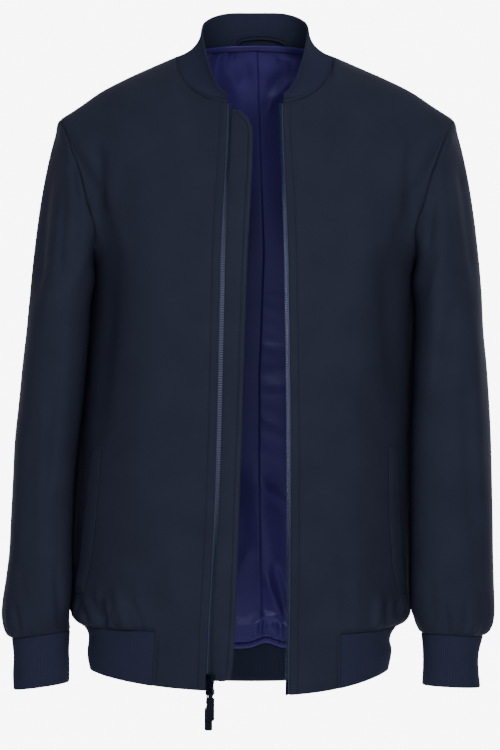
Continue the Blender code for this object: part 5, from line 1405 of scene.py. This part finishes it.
# %% Sliders, links and tabs
SLIDER_PLATE, SLIDER_GAP, BAIL_HOLE, BAIL_REACH, BAIL_WIRE = 0.0010, 0.0036, 0.0013, 0.0032, 0.00062
SLIDER_OUTLINE = [(0.0032, -0.0045), (0.0042, -0.0040), (0.0044, -0.0010), (0.0053, 0.0012),
                  (0.0053, 0.0032), (0.0040, 0.0045)]
LINK_OUTLINE = [(0.0008, 0.0001), (0.0023, 0.0010), (0.0033, 0.0027), (0.0036, 0.0048), (0.0033, 0.0072),
                (0.0027, 0.0094), (0.0026, 0.0150), (0.0025, 0.0164), (0.0020, 0.0170), (0.0013, 0.0171)]
LINK_LEAN = {"upper": -0.035, "lower": 0.140}
LINK_WIRE, LINK_BAR, EYE_WIDTH, EYE_SIDES = 0.00090, 0.00042, 0.0026, 20
SLIDER_STRETCH = {"upper": 1.45, "lower": 1.50}
TAB_WIDTH, TAB_HEIGHT, TAB_THICK, TAB_DROP = 0.0092, 0.0275, 0.0022, 0.0040
for which, end, facing in (("upper", "front", -1.0), ("lower", "rear", 1.0)):
    hinge = hinges[end + "_link_swing"]
    turn = Matrix.Rotation(math.atan2(hinge["axis"][1], hinge["axis"][0]), 4, "Z")
    at_bail = Matrix.Translation(hinge["pos_m"]) @ turn
    depth = SLIDER_GAP / 2 + SLIDER_PLATE
    frame_matrix = at_bail @ Matrix.Translation((0, -facing * (depth + BAIL_HOLE), 0))
    outline = SLIDER_OUTLINE + [(-x, z) for x, z in SLIDER_OUTLINE[::-1]]
    outline = [(x, z * SLIDER_STRETCH[which]) for x, z in outline]
    if which == "lower":
        outline = [(x, -z) for x, z in outline[::-1]]
    model = bmesh.new()
    for hand in (-1, 1):
        plate(model, outline, SLIDER_PLATE, (0, hand * (SLIDER_GAP + SLIDER_PLATE) / 2, 0), 0.00032)
    plate(model, rounded(0.0010, 0.0086, 0.0002, -0.0043), SLIDER_GAP + 0.0004, bevel=0.0001)
    front = facing * depth
    reach = facing * (depth + BAIL_REACH)
    foot = [(0, 0.6 * front, -0.0030), (0, 0.5 * front + 0.5 * reach, -0.0031), (0, reach, -0.0018)]
    arch = spline(foot + [(x, y, -z) for x, y, z in foot[::-1]], np.linspace(0, 1, 19))
    tube(model, arch, BAIL_WIRE, 12)
    finished("slider_" + which, model, frame_matrix, gunmetal, "jacket", "slider_" + which)

    lean = Matrix.Rotation(LINK_LEAN[which], 4, "Y")
    half = spline([(x, 0, -down) for x, down in LINK_OUTLINE], np.linspace(0, 1, 40))
    loop = np.vstack([half, half[::-1] * (-1, 1, 1)])
    model = bmesh.new()
    tube(model, loop, LINK_WIRE, 12, closed=True, flat=0.85)
    tube(model, [(x, 0, -0.0112) for x in (-0.0025, -0.0012, 0.0012, 0.0025)], LINK_BAR, 10)
    finished("link_" + which, model, at_bail @ lean, nickel, end + "_link", "link_" + which)

    at_eye = Matrix.Translation(hinges[end + "_tab_swing"]["pos_m"]) @ turn
    model = bmesh.new()
    tab = rounded(TAB_WIDTH, TAB_HEIGHT, 0.0022, -TAB_DROP - TAB_HEIGHT)
    plate(model, tab, TAB_THICK, bevel=0.0005, segments=3)
    plate(model, rounded(TAB_WIDTH - 0.0030, TAB_HEIGHT - 0.0050, 0.0013, -TAB_DROP - TAB_HEIGHT + 0.0020),
          TAB_THICK + 0.0003, bevel=0.00014, segments=1)
    eye_rings = [[model.verts.new((hand * EYE_WIDTH / 2, radius * math.cos(a), radius * math.sin(a)))
                  for a in np.arange(EYE_SIDES) * 2 * math.pi / EYE_SIDES]
                 for hand, radius in ((-1, 0.00160), (1, 0.00160), (1, 0.00092), (-1, 0.00092))]
    skin(model, eye_rings, True)
    plate(model, rounded(0.0056, 0.0034, 0.0008, -0.0046), 0.0020, bevel=0.0002, segments=1)
    finished("tab_" + which, model, at_eye, rubber, end + "_tab", "tab_" + which)

# %% The pin at the foot of the wearer's left front
model = bmesh.new()
tube(model, pin_line + (0, 0, -0.0006), PIN_RADIUS, 10, flat=0.8)
finished("zip_pin", model, Matrix(), gunmetal, "jacket")

# %% [markdown]
# ## Light and floor
# A pale round floor lies below the jacket. White light comes mostly from behind, as in
# a light tent turned a little, and five soft lamps give the cloth its form.

# %% Light and floor
TENT_STRENGTH, TENT_TURN = 8.0, 6.0  # the turn is in degrees
TENT = ((0.0, 0.14), (0.25, 0.04), (0.72, 0.04), (0.95, 1.0))  # from front to back: place, brightness

world = bpy.data.worlds.new("light tent")
bpy.context.scene.world = world
world.use_nodes = True
tent = world.node_tree.nodes
sky = tent["Background"]
direction, parts = tent.new("ShaderNodeTexCoord"), tent.new("ShaderNodeSeparateXYZ")
level, ramp = tent.new("ShaderNodeMapRange"), tent.new("ShaderNodeValToRGB")
turned = tent.new("ShaderNodeMapping")
turned.inputs["Rotation"].default_value[2] = math.radians(TENT_TURN)
level.inputs["From Min"].default_value = -1.0
for source, out, target, into in (
        (direction, "Generated", turned, "Vector"), (turned, "Vector", parts, 0),
        (parts, "Y", level, "Value"), (level, 0, ramp, "Fac"), (ramp, "Color", sky, "Color")):
    world.node_tree.links.new(source.outputs[out], target.inputs[into])
for middle in (0.35, 0.65):
    ramp.color_ramp.elements.new(middle)
for stop, (place, bright) in zip(ramp.color_ramp.elements, TENT):
    stop.position, stop.color = place, (bright, bright, bright, 1)
sky.inputs["Strength"].default_value = TENT_STRENGTH


def lamp(name, place, aim, size, power, spread=180):
    light = bpy.data.lights.new(name, "AREA")
    light.size, light.energy, light.spread = size, power, math.radians(spread)
    holder = placed(name, light)
    holder.location = place
    holder.rotation_euler = (Vector(aim) - Vector(place)).to_track_quat("-Z", "Y").to_euler()


LAMPS = {  # place, aim, size, watts and, where it isn't half a circle, spread in degrees
    "key": ((1.0, -3.3, 0.5), (0, 0, -0.22), 0.6, 2.2, 40),
    "fill": ((-0.15, -3.3, 1.3), (0, 0, -0.36), 0.8, 28),
    "low": ((0.1, -2.0, -2.0), (0, 0.1, -0.05), 0.9, 3.0),
    "front": ((0.0, -4.0, -0.16), (0, 0, -0.30), 0.5, 2.2),
    "top": ((0.2, 0.6, 2.2), (0, 0, -0.30), 1.2, 8)}
for name, settings in LAMPS.items():
    lamp(name, *settings)

FLOOR_LEVEL, FLOOR_RADIUS = -1.02, 0.50
disc = bmesh.new()
bmesh.ops.create_circle(disc, cap_ends=True, segments=96, radius=FLOOR_RADIUS)
floor = placed("floor", mesh_of("floor", disc))
floor.data.transform(Matrix.Translation((0, 0, FLOOR_LEVEL)))
floor.data.materials.append(Finish("pale_floor", (0.86, 0.86, 0.87), 0.7).material)
print("floor at z =", FLOOR_LEVEL)
